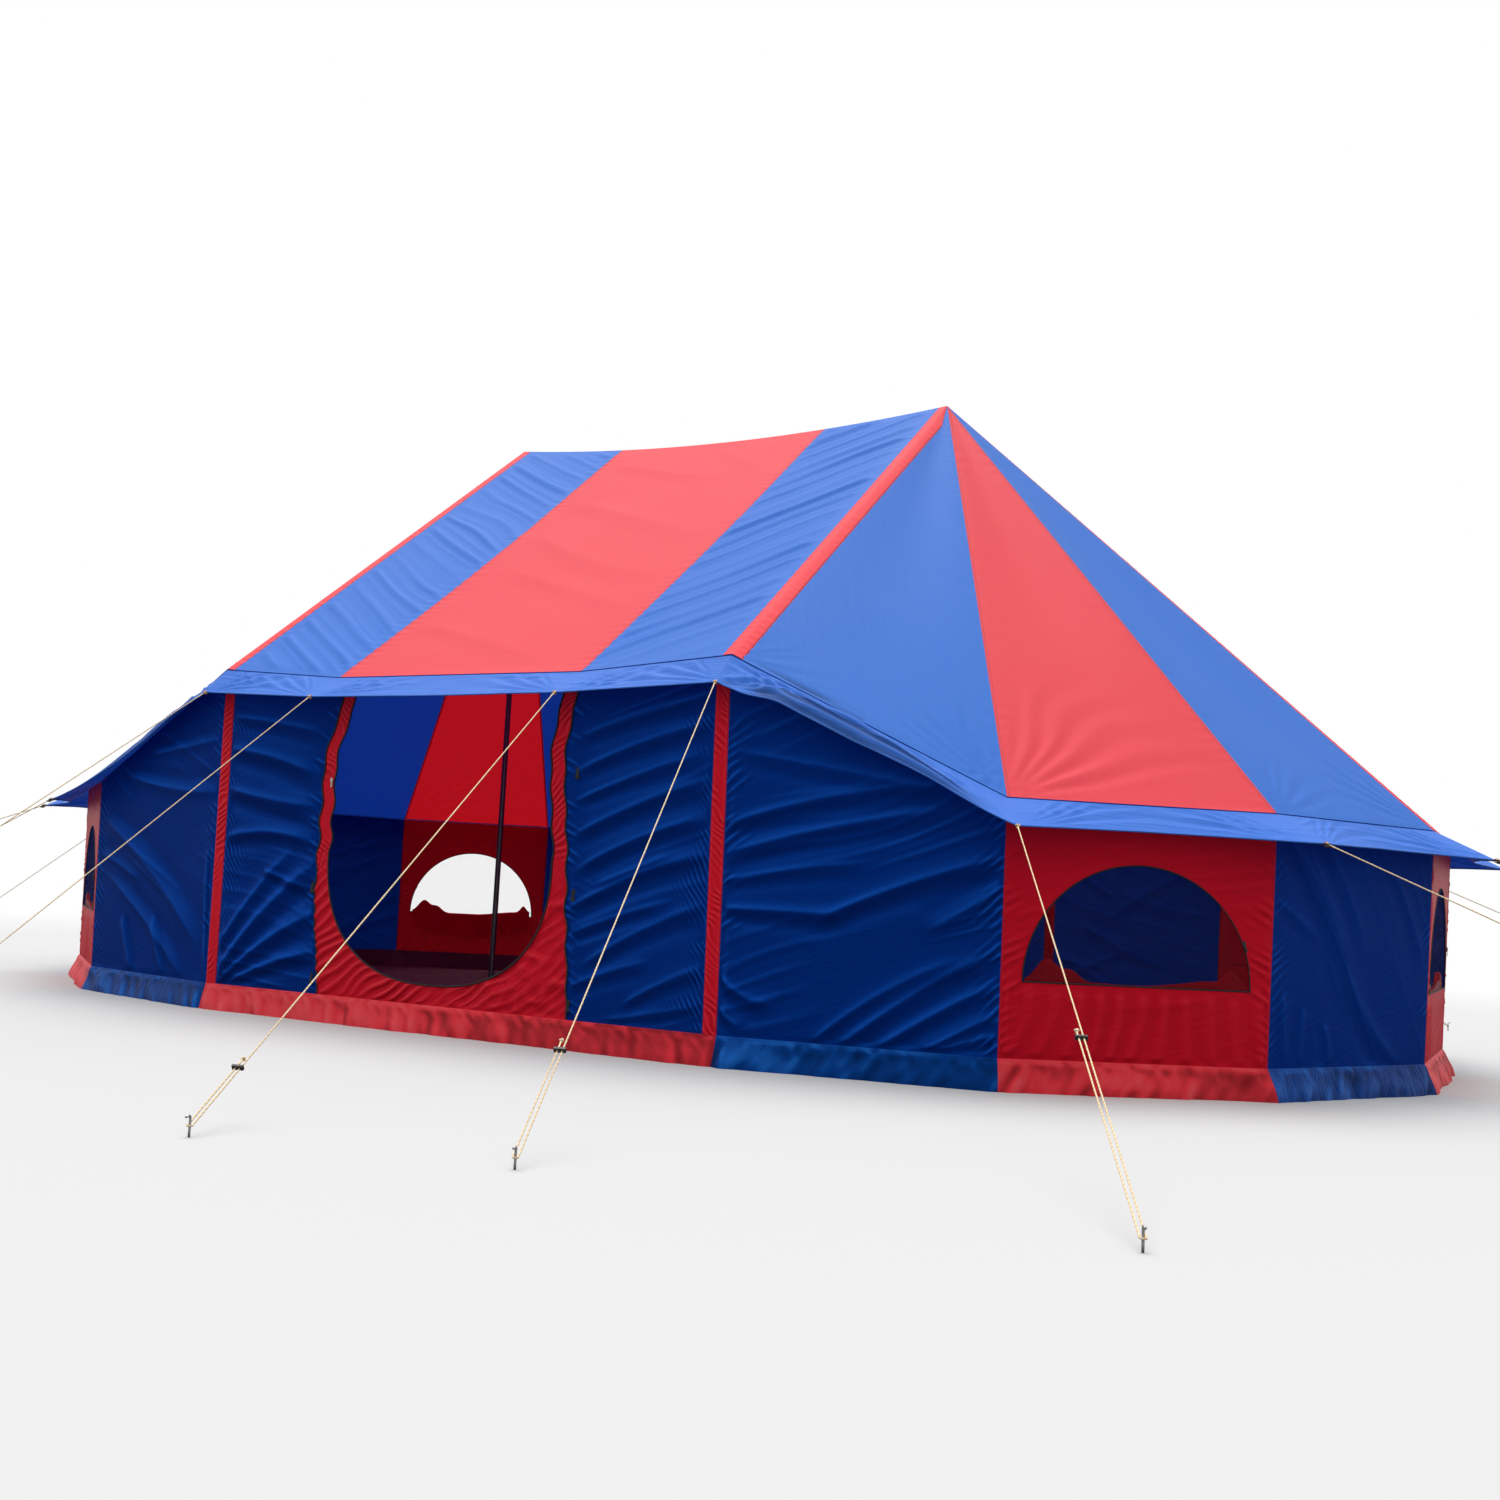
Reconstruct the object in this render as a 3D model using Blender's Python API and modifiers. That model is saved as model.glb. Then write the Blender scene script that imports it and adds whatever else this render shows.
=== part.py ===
"""Two-pole group tent with a striped roof, seven-panel rounded ends, half-moon windows and guy ropes.

Metres, +Z up. The origin is on the ground at the middle of the tent, +X runs along the ridge
and the door looks towards -Y. Every cloth is a closed sheet with its real outline and main folds.
"""
import math

import bmesh
import bpy
import numpy as np
from mathutils import Matrix, Vector

# Frame of the tent
pole_spacing = 2.906
peak_height = 3.50
half_width = 2.416             # ridge line to the front or back eave
end_reach = 2.61               # pole to the eave of a rounded end
end_panels = 7
side_eave_height = 1.70        # at the four corner tapes
end_eave_height = 1.14
stripe_half = 0.70             # middle of the ridge to a stripe joint
stripe_eave_drop = 0.055       # how far the front and back eaves sag at the stripe joints
ridge_sag = 0.078
panel_dish = 0.03              # how far a roof panel hangs below its straight seams

# Cloth
cloth_thickness = 0.004
gap = 0.0003
wrinkle_height = 0.009
wrinkle_spacing = 0.16         # across the plain stripe beside the right front tape
wrinkles_down = 2.2            # wrinkles crossed from the ridge down to the eave
crumple_height = 0.010         # of the border round the ends
fold_start = 0.02              # share of a wall's height where its folds begin
fold_ease = 0.3                # share over which a fold fades out
wall_fold_height = 0.012
end_fold = (0.34, 62)          # length of one fold in shares of a panel, and its slant in degrees
front_left_fold = (0.36, 66)   # length in metres and slant in degrees
front_right_fold = (0.30, 52)
back_fold = (0.50, 60)
gather_height = 0.010
gather_margin = 0.04           # the gathers end this far below the sill

# Border below the eave seam
corner_border_width = 0.124
corner_border_drop = 0.13
stripe_border_width = 0.184
stripe_border_drop = 0.115
front_border_width = 0.15
end_border_width = 0.25
end_border_drop = 0.12
panel_border_width = 0.13
panel_border_drop = 0.11

# Walls and skirt
foot_height = 0.125            # the seam between the wall and its skirt
foot_share = 0.986             # plan size at the foot, as a share of the eave
skirt_share = 0.998            # plan size of the skirt's lower edge
skirt_gather = 0.020
tape_width = 0.067

# Door in the front wall
door_strip = 0.075             # cloth beside the opening
door_sill = 0.216              # lowest point of the opening
door_bend = 0.80               # height at which the round bottom begins
door_head_drop = 0.10          # from the eave at the tapes down to the head of the opening
door_roundness = 2.4
roll_radius = 0.038
roll_left = -0.66
roll_right = 0.14
door_pull_height = 1.149

# Half-moon windows
window_radius = 0.475
window_sill = 0.425
net_thickness = 0.003
net_margin = 0.015
net_depth = 0.002
zip_radius = 0.005
window_pull_angle = 23.5       # degrees above the sill, at rest

# Poles and groundsheet
pole_radius = 0.0175
pole_wall = 0.0015
pole_sections = 4
pole_swage = 0.0012
pole_tip_radius = 0.004
sheet_thickness = 0.003

# Guy ropes
rope_radius = 0.0025
strand_spacing = 0.014
knot_radius = 0.009
knot_gap = 0.0008              # clear of the hem on both sides of a tape
tail_knot_radius = 0.006
tail_length = 0.04
peg_radius = 0.0035
peg_height = 0.06
peg_arm = 0.022
rope_height_at_peg = 0.03
rope_bite = 0.4                # how close the rope's own line comes to the peg, in rope radii
runner_width = 0.034
runner_height = 0.014
runner_thickness = 0.008

# Where each rope meets the ground, and the runner's share of the way from the hem to the peg
right_pegs = [
    (2.22, -4.85, 0.849), (3.73, -4.67, 0.651), (5.90, -2.50, 0.78), (5.95, -0.90, 0.75),
    (5.95, 0.95, 0.75), (6.00, 2.80, 0.75), (3.75, 4.25, 0.75), (2.10, 4.35, 0.78),
]
left_pegs = [
    (-1.79, -4.60, 0.80), (-3.67, -3.50, 0.72), (-5.21, -3.50, 0.75), (-5.60, -1.00, 0.75),
    (-5.60, 1.00, 0.75), (-5.30, 2.80, 0.75), (-3.70, 4.20, 0.75), (-2.10, 4.35, 0.78),
]
front_pegs = {"left": (-0.74, -4.60, 0.85), "right": (1.34, -5.09, 0.913)}
back_pegs = {"left": (-0.85, 4.45, 0.78), "right": (0.85, 4.45, 0.78)}

# Colours, roughness and metallic
finishes = {
    "blue_cloth": ((0.075, 0.20, 0.72), 0.62, 0.0),
    "red_cloth": ((0.90, 0.11, 0.13), 0.62, 0.0),
    "black_sheet": ((0.015, 0.012, 0.014), 0.70, 0.0),
    "pole_steel": ((0.16, 0.16, 0.17), 0.35, 0.9),
    "guy_rope": ((0.86, 0.66, 0.33), 0.85, 0.0),
    "black_plastic": ((0.012, 0.012, 0.013), 0.45, 0.0),
    "zip_metal": ((0.35, 0.34, 0.32), 0.30, 1.0),
}

half_ridge = pole_spacing / 2
roof_slope = (peak_height - end_eave_height) / end_reach
roof_drop = cloth_thickness * math.hypot(1, roof_slope)
seat = gap * math.hypot(1, roof_slope)
stripe_eave_height = side_eave_height - stripe_eave_drop
door_head = side_eave_height - door_head_drop
corner_angles = np.radians(-90 + 180 / end_panels * np.arange(end_panels + 1))
corner_x = end_reach * np.cos(corner_angles)
corner_y = half_width * np.sin(corner_angles)
corner_heights = np.full(end_panels + 1, end_eave_height)
corner_heights[[0, -1]] = side_eave_height


def smooth(value):
    """A smooth step from 0 to 1."""
    value = np.clip(value, 0, 1)
    return value * value * (3 - 2 * value)


def fade(value, low, high, width):
    """1 between low and high, going smoothly to 0 at both."""
    return smooth((value - low) / width) * smooth((high - value) / width)


def wave_path(value, knots, values):
    """A curve through the given values with level tangents at the knots."""
    value = np.asarray(value, float)
    place = np.clip(np.searchsorted(knots, value) - 1, 0, len(knots) - 2)
    low, high = np.take(knots, place), np.take(knots, place + 1)
    share = smooth((value - low) / (high - low))
    return np.take(values, place) * (1 - share) + np.take(values, place + 1) * share


def points(*axes):
    return np.stack(np.broadcast_arrays(*axes), axis=-1)


# Plan and heights

def end_plan(turn):
    """Plan offset from the pole of the end's eave; turn counts panels from the front tape."""
    return np.interp(turn, range(end_panels + 1), corner_x), np.interp(turn, range(end_panels + 1), corner_y)


def end_eave(turn):
    return np.interp(turn, range(end_panels + 1), corner_heights)


def side_eave(x):
    """Eave height along the front and back: straight from each tape down to the stripe joint."""
    return np.interp(np.abs(x), [stripe_half, half_ridge], [stripe_eave_height, side_eave_height])


def end_border(turn):
    """Width and drop of the border below the eave, widest where a rope pulls at a corner."""
    inner = [end_border_width] * (end_panels - 1)
    widths = np.interp(turn, range(end_panels + 1), [corner_border_width, *inner, corner_border_width])
    drops = np.interp(turn, range(end_panels + 1),
                      [corner_border_drop, *[end_border_drop] * (end_panels - 1), corner_border_drop])
    pull = np.abs(2 * (turn % 1) - 1) ** 2
    width = np.minimum(widths, panel_border_width) * (1 - pull) + widths * pull
    return width, np.minimum(drops, panel_border_drop) * (1 - pull) + drops * pull


def side_border(x):
    stations = [0, stripe_half, half_ridge]
    width = np.interp(np.abs(x), stations, [front_border_width, stripe_border_width, corner_border_width])
    return width, np.interp(np.abs(x), [stripe_half, half_ridge], [stripe_border_drop, corner_border_drop])


def roof_end_surface(turn, row, side):
    """From the peak (row 0) straight to the eave (row 1), then out over the border (row 1 to 2)."""
    dx, dy = end_plan(turn)
    share = np.clip(row, 0, 1)
    across = turn % 1
    dish = panel_dish * np.sin(np.pi * across) ** 2 * np.sin(np.pi * share)
    fan = wrinkle_height * np.sin(5 * np.pi * across) * fade(share, 0.45, 1.0, fold_ease)
    z = peak_height + share * (end_eave(turn) - peak_height) - dish + fan * np.sin(np.pi * across)
    width, drop = end_border(turn)
    out = np.clip(row - 1, 0, 1)
    reach = np.hypot(dx, dy)
    crumple = crumple_height * np.sin(3 * np.pi * turn) * np.sin(np.pi * out)
    x = half_ridge + gap / 2 + dx * share + out * width * dx / reach
    y = dy * share + out * width * dy / reach
    return points(side * x, y, z - out * drop + crumple)


def roof_middle_surface(x, row):
    """Row -2 to -1 is the front border, -1 to 0 the front slope, 0 to 2 the same behind."""
    share = np.clip(np.abs(row), 0, 1)
    out = np.clip(np.abs(row) - 1, 0, 1)
    ridge = peak_height - ridge_sag * (1 - (x / half_ridge) ** 2)
    side_fade = 1 - (x / half_ridge) ** 2
    dish = panel_dish * np.sin(np.pi * share) * side_fade
    # Long slanting wrinkles in the plain stripe beside the right front tape
    lean = (x - half_ridge) / wrinkle_spacing + share * wrinkles_down
    beside_tape = fade(x, stripe_half - wrinkle_spacing / 2, half_ridge, wrinkle_spacing)
    wrinkle = wrinkle_height * np.sin(2 * np.pi * lean) * beside_tape * fade(share, 0, 1, fold_ease)
    width, drop = side_border(x)
    z = ridge + share * (side_eave(x) - ridge) - dish + wrinkle - out * drop
    return points(x, np.sign(row) * (half_width * share + out * width), z)


def wall_profile(row, top):
    """Height and plan share of a wall; row -1 to 0 is the skirt and 0 to 1 the wall."""
    skirt = np.clip(-row, 0, 1)
    share = np.clip(row, 0, 1)
    z = foot_height * (1 - skirt) + share * (top - foot_height)
    return z, foot_share + share * (1 - foot_share) + skirt * (skirt_share - foot_share)


def slanting_folds(along, z, fold):
    """Folds of a wall: straight waves whose length and slant are the pair in fold."""
    length, slant = fold[0], math.radians(fold[1])
    return wall_fold_height * np.sin(2 * np.pi * (along * math.cos(slant) + z * math.sin(slant)) / length)


def is_window_panel(panel):
    return panel % 2 == 1


def end_wall_surface(turn, row, side):
    dx, dy = end_plan(turn)
    top = end_eave(turn) - roof_drop - seat
    z, share = wall_profile(row, top)
    panel = np.minimum(np.floor(turn), end_panels - 1).astype(int)
    across = turn - panel
    plain = slanting_folds(across, z, end_fold) * fade(across, 0, 1, fold_ease)
    plain = plain * fade(row, fold_start, 1, fold_ease)
    below_sill = (window_sill - gather_margin - foot_height) / (end_eave_height - foot_height)
    gathers = gather_height * np.sin(5 * np.pi * across) * fade(row, 0, below_sill, below_sill / 2)
    fold = np.where(is_window_panel(panel), gathers, plain)
    fold = fold + skirt_gather * np.sin(3 * np.pi * turn) ** 2 * np.clip(-row, 0, 1)
    reach = np.hypot(dx, dy)
    x = half_ridge + gap / 2 + dx * share + fold * dx / reach
    y = dy * share + fold * dy / reach
    return points(side * x, y, z)


def left_door_edge(row):
    shift = wave_path(row, [-1, 0, 0.31, 0.72, 0.94, 1], [0, -0.02, -0.067, -0.056, 0.035, 0])
    return -stripe_half + shift


def right_door_edge(row):
    shift = wave_path(row, [-1, 0, 0.40, 0.755, 0.95, 1], [0, 0.012, -0.02, -0.056, -0.012, 0])
    return stripe_half + shift


def side_wall_surface(x, eave_x, row, fold, front=-1):
    """A point of the front or back wall: eave_x is the place along the eave that it hangs from."""
    z, share = wall_profile(row, side_eave(eave_x) - roof_drop - seat)
    gather = skirt_gather * np.sin(9 * eave_x) ** 2 * np.clip(-row, 0, 1)
    return points(x, front * (half_width * share + fold + gather), z)


def front_left_surface(across, row):
    start = -half_ridge + gap / 2
    eave_x = start + across * (-stripe_half - start)
    x = start + across * (left_door_edge(row) - gap / 2 - start)
    z = wall_profile(row, side_eave(eave_x))[0]
    fold = slanting_folds(x, z, front_left_fold) * fade(across, 0, 1, fold_ease)
    return side_wall_surface(x, eave_x, row, fold * fade(row, fold_start, 1, fold_ease))


def front_right_surface(across, row):
    end = half_ridge - gap / 2
    eave_x = stripe_half + across * (end - stripe_half)
    x = right_door_edge(row) + gap / 2 + across * (end - right_door_edge(row) - gap / 2)
    z = wall_profile(row, side_eave(eave_x))[0]
    fold = slanting_folds(-x, z, front_right_fold) * fade(across, 0, 1, fold_ease)
    return side_wall_surface(x, eave_x, row, fold * fade(row, fold_start, 1, fold_ease))


def door_surface(across, row):
    left, right = left_door_edge(row) + gap / 2, right_door_edge(row) - gap / 2
    eave_x = -stripe_half + across * 2 * stripe_half
    return side_wall_surface(left + across * (right - left), eave_x, row, 0)


def back_surface(x, row):
    z = wall_profile(row, side_eave(x))[0]
    fold = slanting_folds(x, z, back_fold) * fade(x, -half_ridge, half_ridge, fold_ease)
    fold = fold * fade(row, fold_start, 1, fold_ease)
    return side_wall_surface(x, x, row, fold, front=1)


# Building blocks

def clear_scene():
    for item in list(bpy.data.objects):
        bpy.data.objects.remove(item, do_unlink=True)


def make_collection(name):
    collection = bpy.data.collections.new(name)
    bpy.context.scene.collection.children.link(collection)
    return collection


def make_materials():
    made = {}
    for name, (colour, roughness, metallic) in finishes.items():
        material = bpy.data.materials.new(name)
        material.use_nodes = True
        shader = material.node_tree.nodes["Principled BSDF"]
        shader.inputs["Base Color"].default_value = (*colour, 1)
        shader.inputs["Roughness"].default_value = roughness
        shader.inputs["Metallic"].default_value = metallic
        made[name] = material
    return made


def add_object(name, data, slots, collection):
    item = bpy.data.objects.new(name, data)
    for slot in slots:
        if len(data.materials) < len(slots):
            data.materials.append(materials[slot])
    collection.objects.link(item)
    return item


def add_sheet(name, columns, rows, place, thicken, slots, paint=None):
    """A cloth: a flat grid moved into place, then extruded to its thickness and closed."""
    work = bmesh.new()
    bmesh.ops.create_grid(work, x_segments=len(columns) - 1, y_segments=len(rows) - 1, size=1.0)
    flat = np.array([vertex.co[:2] for vertex in work.verts])
    column = np.rint((flat[:, 0] + 1) / 2 * (len(columns) - 1)).astype(int)
    row = np.rint((flat[:, 1] + 1) / 2 * (len(rows) - 1)).astype(int)
    if paint:
        for face in work.faces:
            middle = (np.array(face.calc_center_median()[:2]) + 1) / 2
            across = np.interp(middle[0] * (len(columns) - 1), range(len(columns)), columns)
            down = np.interp(middle[1] * (len(rows) - 1), range(len(rows)), rows)
            face.material_index = paint(across, down)
    for vertex, point in zip(work.verts, place(columns[column], rows[row])):
        vertex.co = point
    bmesh.ops.remove_doubles(work, verts=work.verts[:], dist=0.00001)
    grown = bmesh.ops.extrude_face_region(work, geom=work.faces[:])["geom"]
    grown = [item for item in grown if isinstance(item, bmesh.types.BMVert)]
    for vertex, point in zip(grown, thicken(np.array([vertex.co[:] for vertex in grown]))):
        vertex.co = point
    bmesh.ops.recalc_face_normals(work, faces=work.faces[:])
    mesh = bpy.data.meshes.new(name)
    work.to_mesh(mesh)
    work.free()
    mesh.shade_smooth()
    mesh.set_sharp_from_angle(angle=math.radians(40))
    return add_object(name, mesh, slots, tent)


def as_mesh(curve_object):
    """Turn a curve object into a mesh object with welded caps, in the same place."""
    bpy.context.view_layer.update()
    evaluated = curve_object.evaluated_get(bpy.context.evaluated_depsgraph_get())
    mesh = bpy.data.meshes.new_from_object(evaluated)
    mesh.transform(curve_object.matrix_world)
    curve = curve_object.data
    bpy.data.objects.remove(curve_object)
    bpy.data.curves.remove(curve)
    work = bmesh.new()
    work.from_mesh(mesh)
    bmesh.ops.remove_doubles(work, verts=work.verts[:], dist=0.00001)
    bmesh.ops.recalc_face_normals(work, faces=work.faces[:])
    work.to_mesh(mesh)
    work.free()
    return mesh


def tube_mesh(route, radii, radius, closed=False, resolution=2):
    """A tube along straight runs between the route's points, with a radius factor at each."""
    curve = bpy.data.curves.new("tube", "CURVE")
    curve.dimensions = "3D"
    curve.bevel_depth = radius
    curve.bevel_resolution = resolution
    curve.use_fill_caps = True
    spline = curve.splines.new("POLY")
    spline.points.add(len(route) - 1)
    for point, place, factor in zip(spline.points, route, radii):
        point.co = (*place, 1)
        point.radius = factor
    spline.use_cyclic_u = closed
    item = bpy.data.objects.new("tube", curve)
    guides.objects.link(item)
    return as_mesh(item)


def outline_mesh(outline, low, high, frame=Matrix.Identity(4)):
    """A flat outline extruded from height low to high in the given frame."""
    curve = bpy.data.curves.new("outline", "CURVE")
    curve.dimensions = "2D"
    curve.fill_mode = "BOTH"
    curve.extrude = (high - low) / 2
    spline = curve.splines.new("POLY")
    spline.points.add(len(outline) - 1)
    for point, place in zip(spline.points, outline):
        point.co = (place[0], place[1], 0, 1)
    spline.use_cyclic_u = True
    item = bpy.data.objects.new("outline", curve)
    item.matrix_world = frame @ Matrix.Translation((0, 0, (low + high) / 2))
    guides.objects.link(item)
    return as_mesh(item)


def joined(meshes, name):
    work = bmesh.new()
    for mesh in meshes:
        work.from_mesh(mesh)
        bpy.data.meshes.remove(mesh)
    result = bpy.data.meshes.new(name)
    work.to_mesh(result)
    work.free()
    return result


def add_guide(name, mesh):
    item = add_object(name, mesh, [], guides)
    item.hide_render = True
    item.display_type = "WIRE"
    return item


def boolean(item, guide, operation):
    modifier = item.modifiers.new(operation.lower(), "BOOLEAN")
    modifier.operation = operation
    modifier.solver = "EXACT"
    modifier.object = guide


def turned(name, profile, steps, slot):
    """A turned piece about +Z: the profile runs down its outer side, as (radius, height)."""
    mesh = bpy.data.meshes.new(name)
    edges = [(index, index + 1) for index in range(len(profile) - 1)]
    mesh.from_pydata([(radius, 0, height) for radius, height in profile], edges, [])
    item = add_object(name, mesh, [slot], tent)
    screw = item.modifiers.new("screw", "SCREW")
    screw.axis = "Z"
    screw.steps = steps
    screw.render_steps = steps
    screw.use_merge_vertices = True
    screw.merge_threshold = 0.00001
    screw.use_smooth_shade = True
    return item


# Roof

def thicken_down(outer):
    return outer - [0, 0, roof_drop]


def end_rows(count):
    return np.concatenate([np.linspace(0, 1, count + 1), [1.5, 2.0]])


def paint_end(turn, row):
    return int(is_window_panel(int(turn)) and row < 1)


def paint_middle(x, row):
    return int(abs(x) < stripe_half and abs(row) < 1)


def make_roof():
    turns = np.linspace(0, end_panels, 4 * end_panels + 1)
    for name, side in (("right", 1), ("left", -1)):
        add_sheet("roof_end_" + name, turns, end_rows(6),
                  lambda turn, row: roof_end_surface(turn, row, side),
                  thicken_down, ["blue_cloth", "red_cloth"], paint_end)
    edge = half_ridge - gap / 2
    stripe = np.linspace(stripe_half, edge, 7)
    columns = np.concatenate([-stripe[::-1], np.linspace(-stripe_half, stripe_half, 8)[1:-1], stripe])
    slope = np.concatenate([np.linspace(0, 1, 7), [1.5, 2.0]])
    rows = np.concatenate([-slope[:0:-1], slope])
    add_sheet("roof_middle", columns, rows, roof_middle_surface, thicken_down,
              ["blue_cloth", "red_cloth"], paint_middle)


# Walls

wall_rows = np.concatenate([[-1.0, -0.5], np.linspace(0, 1, 8)])


def window_frame(panel, side):
    """The plane of a window: x along the sill, y up the cloth, z outwards, origin at the arc's centre."""
    share = foot_share + (1 - foot_share) * (window_sill - foot_height) / (end_eave_height - foot_height)
    start = np.array([corner_x[panel], corner_y[panel]])
    end = np.array([corner_x[panel + 1], corner_y[panel + 1]])
    middle = (start + end) / 2
    rise = np.array([*(middle * (1 - foot_share)), end_eave_height - foot_height])
    along = Vector((*(end - start), 0)).normalized()
    up = Vector(rise)
    up = (up - along * up.dot(along)).normalized()
    origin = Vector((half_ridge + gap / 2 + middle[0] * share, middle[1] * share, window_sill))
    if side < 0:
        # The left end mirrors the right one, so the sill runs the other way round
        along = Vector((along.x, -along.y, 0))
        up = Vector((-up.x, up.y, up.z))
        origin.x = -origin.x
    frame = Matrix.Identity(4)
    for column, axis in enumerate((along, up, along.cross(up))):
        frame.col[column] = (*axis, 0)
    frame.col[3] = (*origin, 1)
    return frame


def half_moon(radius, below=0.0):
    angles = np.radians(np.linspace(0, 180, 15))
    arc = [(radius * math.cos(angle), radius * math.sin(angle)) for angle in angles]
    if below:
        arc = [(radius, -below), *arc, (-radius, -below)]
    return arc


def window_panels():
    return [panel for panel in range(end_panels) if is_window_panel(panel)]


def add_windows(wall, side):
    """Cut the half-moons, put the net behind the cloth and run the zip round each opening."""
    holes, nets, zips = [], [], []
    for panel in window_panels():
        frame = window_frame(panel, side)
        holes.append(outline_mesh(half_moon(window_radius), -0.1, 0.1, frame))
        net = half_moon(window_radius + net_margin, net_margin)
        nets.append(outline_mesh(net, -net_depth - net_thickness, -net_depth, frame))
        route = [frame @ Vector((*place, 0)) for place in half_moon(window_radius)]
        zips.append(tube_mesh(route, [1] * len(route), zip_radius, closed=True, resolution=1))
    boolean(wall, add_guide(wall.name + "_holes", joined(holes, "holes")), "DIFFERENCE")
    boolean(wall, add_guide(wall.name + "_nets", joined(nets, "nets")), "UNION")
    boolean(wall, add_guide(wall.name + "_zips", joined(zips, "zips")), "UNION")


def make_end_walls():
    turns = []
    for panel in range(end_panels):
        segments = 5 if is_window_panel(panel) else 6
        turns.append(panel + np.arange(segments) / segments)
    turns = np.concatenate([*turns, [end_panels]])
    for name, side in (("right", 1), ("left", -1)):
        centre = np.array([side * (half_ridge + gap / 2), 0, 0])
        shrink = np.array([1 - cloth_thickness / half_width, 1 - cloth_thickness / half_width, 1])
        wall = add_sheet("end_wall_" + name, turns, wall_rows,
                         lambda turn, row: end_wall_surface(turn, row, side),
                         lambda outer: centre + (outer - centre) * shrink,
                         ["blue_cloth", "red_cloth"], lambda turn, row: int(is_window_panel(int(turn))))
        add_windows(wall, side)


def door_outline():
    """The opening: wavy sides below the head, then one round bottom."""
    top = stripe_eave_height
    heights = np.linspace(door_head, door_bend, 9)
    rows = (heights - foot_height) / (top - foot_height)
    left = np.column_stack([left_door_edge(rows) + door_strip, heights])
    right = np.column_stack([right_door_edge(rows) - door_strip, heights])[::-1]
    middle = (left[-1, 0] + right[0, 0]) / 2
    half = (right[0, 0] - left[-1, 0]) / 2
    angles = np.radians(np.linspace(180, 360, 15))[1:-1]
    power = 2 / door_roundness
    bottom_x = middle + half * np.sign(np.cos(angles)) * np.abs(np.cos(angles)) ** power
    bottom_z = door_bend - (door_bend - door_sill) * np.abs(np.sin(angles)) ** power
    return np.concatenate([left, np.column_stack([bottom_x, bottom_z]), right])


def make_front():
    def inwards(outer):
        return outer + [0, cloth_thickness, 0]

    def tape_on_left(across, row):
        return int(across < tape_width / (half_ridge - stripe_half) or row < 0)

    def tape_on_right(across, row):
        return int(across > 1 - tape_width / (half_ridge - stripe_half) or row < 0)

    share = tape_width / (half_ridge - stripe_half)
    columns = np.concatenate([[0], np.linspace(share, 1, 7)])
    add_sheet("front_wall_left", columns, wall_rows, front_left_surface, inwards,
              ["blue_cloth", "red_cloth"], tape_on_left)
    add_sheet("front_wall_right", 1 - columns[::-1], wall_rows, front_right_surface, inwards,
              ["blue_cloth", "red_cloth"], tape_on_right)
    door = add_sheet("door_panel", np.linspace(0, 1, 7), wall_rows, door_surface, inwards, ["red_cloth"])
    upright = Matrix.Translation((0, -half_width, 0)) @ Matrix.Rotation(math.radians(90), 4, "X")
    opening = outline_mesh(door_outline(), -0.2, 0.2, upright)
    boolean(door, add_guide("door_opening", opening), "DIFFERENCE")


def make_back():
    edge = half_ridge - gap / 2
    stripe = np.linspace(stripe_half, edge, 5)
    columns = np.concatenate([-stripe[::-1], np.linspace(-stripe_half, stripe_half, 8)[1:-1], stripe])
    add_sheet("back_wall", columns, wall_rows, back_surface, lambda outer: outer - [0, cloth_thickness, 0],
              ["blue_cloth", "red_cloth"], lambda x, row: int(abs(x) < stripe_half))


def wall_inside(z):
    """Distance from the ridge line to the inner face of the front wall at a height."""
    share = (z - foot_height) / (stripe_eave_height - roof_drop - seat - foot_height)
    return half_width * (foot_share + (1 - foot_share) * share) - cloth_thickness


def make_rolled_door():
    """The door flap, rolled up and tied just inside the head of the opening."""
    length = roll_right - roll_left
    profile = [(0, length), (roll_radius * 0.8, length), (roll_radius, length - 0.02),
               (roll_radius, 0.02), (roll_radius * 0.8, 0), (0, 0)]
    roll = turned("rolled_door", profile, 12, "red_cloth")
    centre_y = -(wall_inside(door_head) - gap - roll_radius)
    roll.matrix_world = Matrix.Translation((roll_left, centre_y, door_head)) @ Matrix.Rotation(
        math.radians(90), 4, "Y")


# Groundsheet and poles

def sheet_outline(inset):
    """The plan of the tent at its foot, drawn in by inset from the eave's own outline."""
    share = foot_share - inset / half_width
    right = [(half_ridge + x * share, y * share) for x, y in zip(corner_x, corner_y)]
    left = [(-x, y) for x, y in reversed(right)]
    return right + left


def make_groundsheet():
    """A flat sheet whose edge is turned up to the foot seam of the walls."""
    rim = cloth_thickness + gap
    mesh = outline_mesh(sheet_outline(rim), 0, foot_height)
    sheet = add_object("groundsheet", mesh, ["black_sheet"], tent)
    hollow = outline_mesh(sheet_outline(rim + sheet_thickness), sheet_thickness, foot_height + 0.05)
    boolean(sheet, add_guide("groundsheet_hollow", hollow), "DIFFERENCE")


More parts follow.
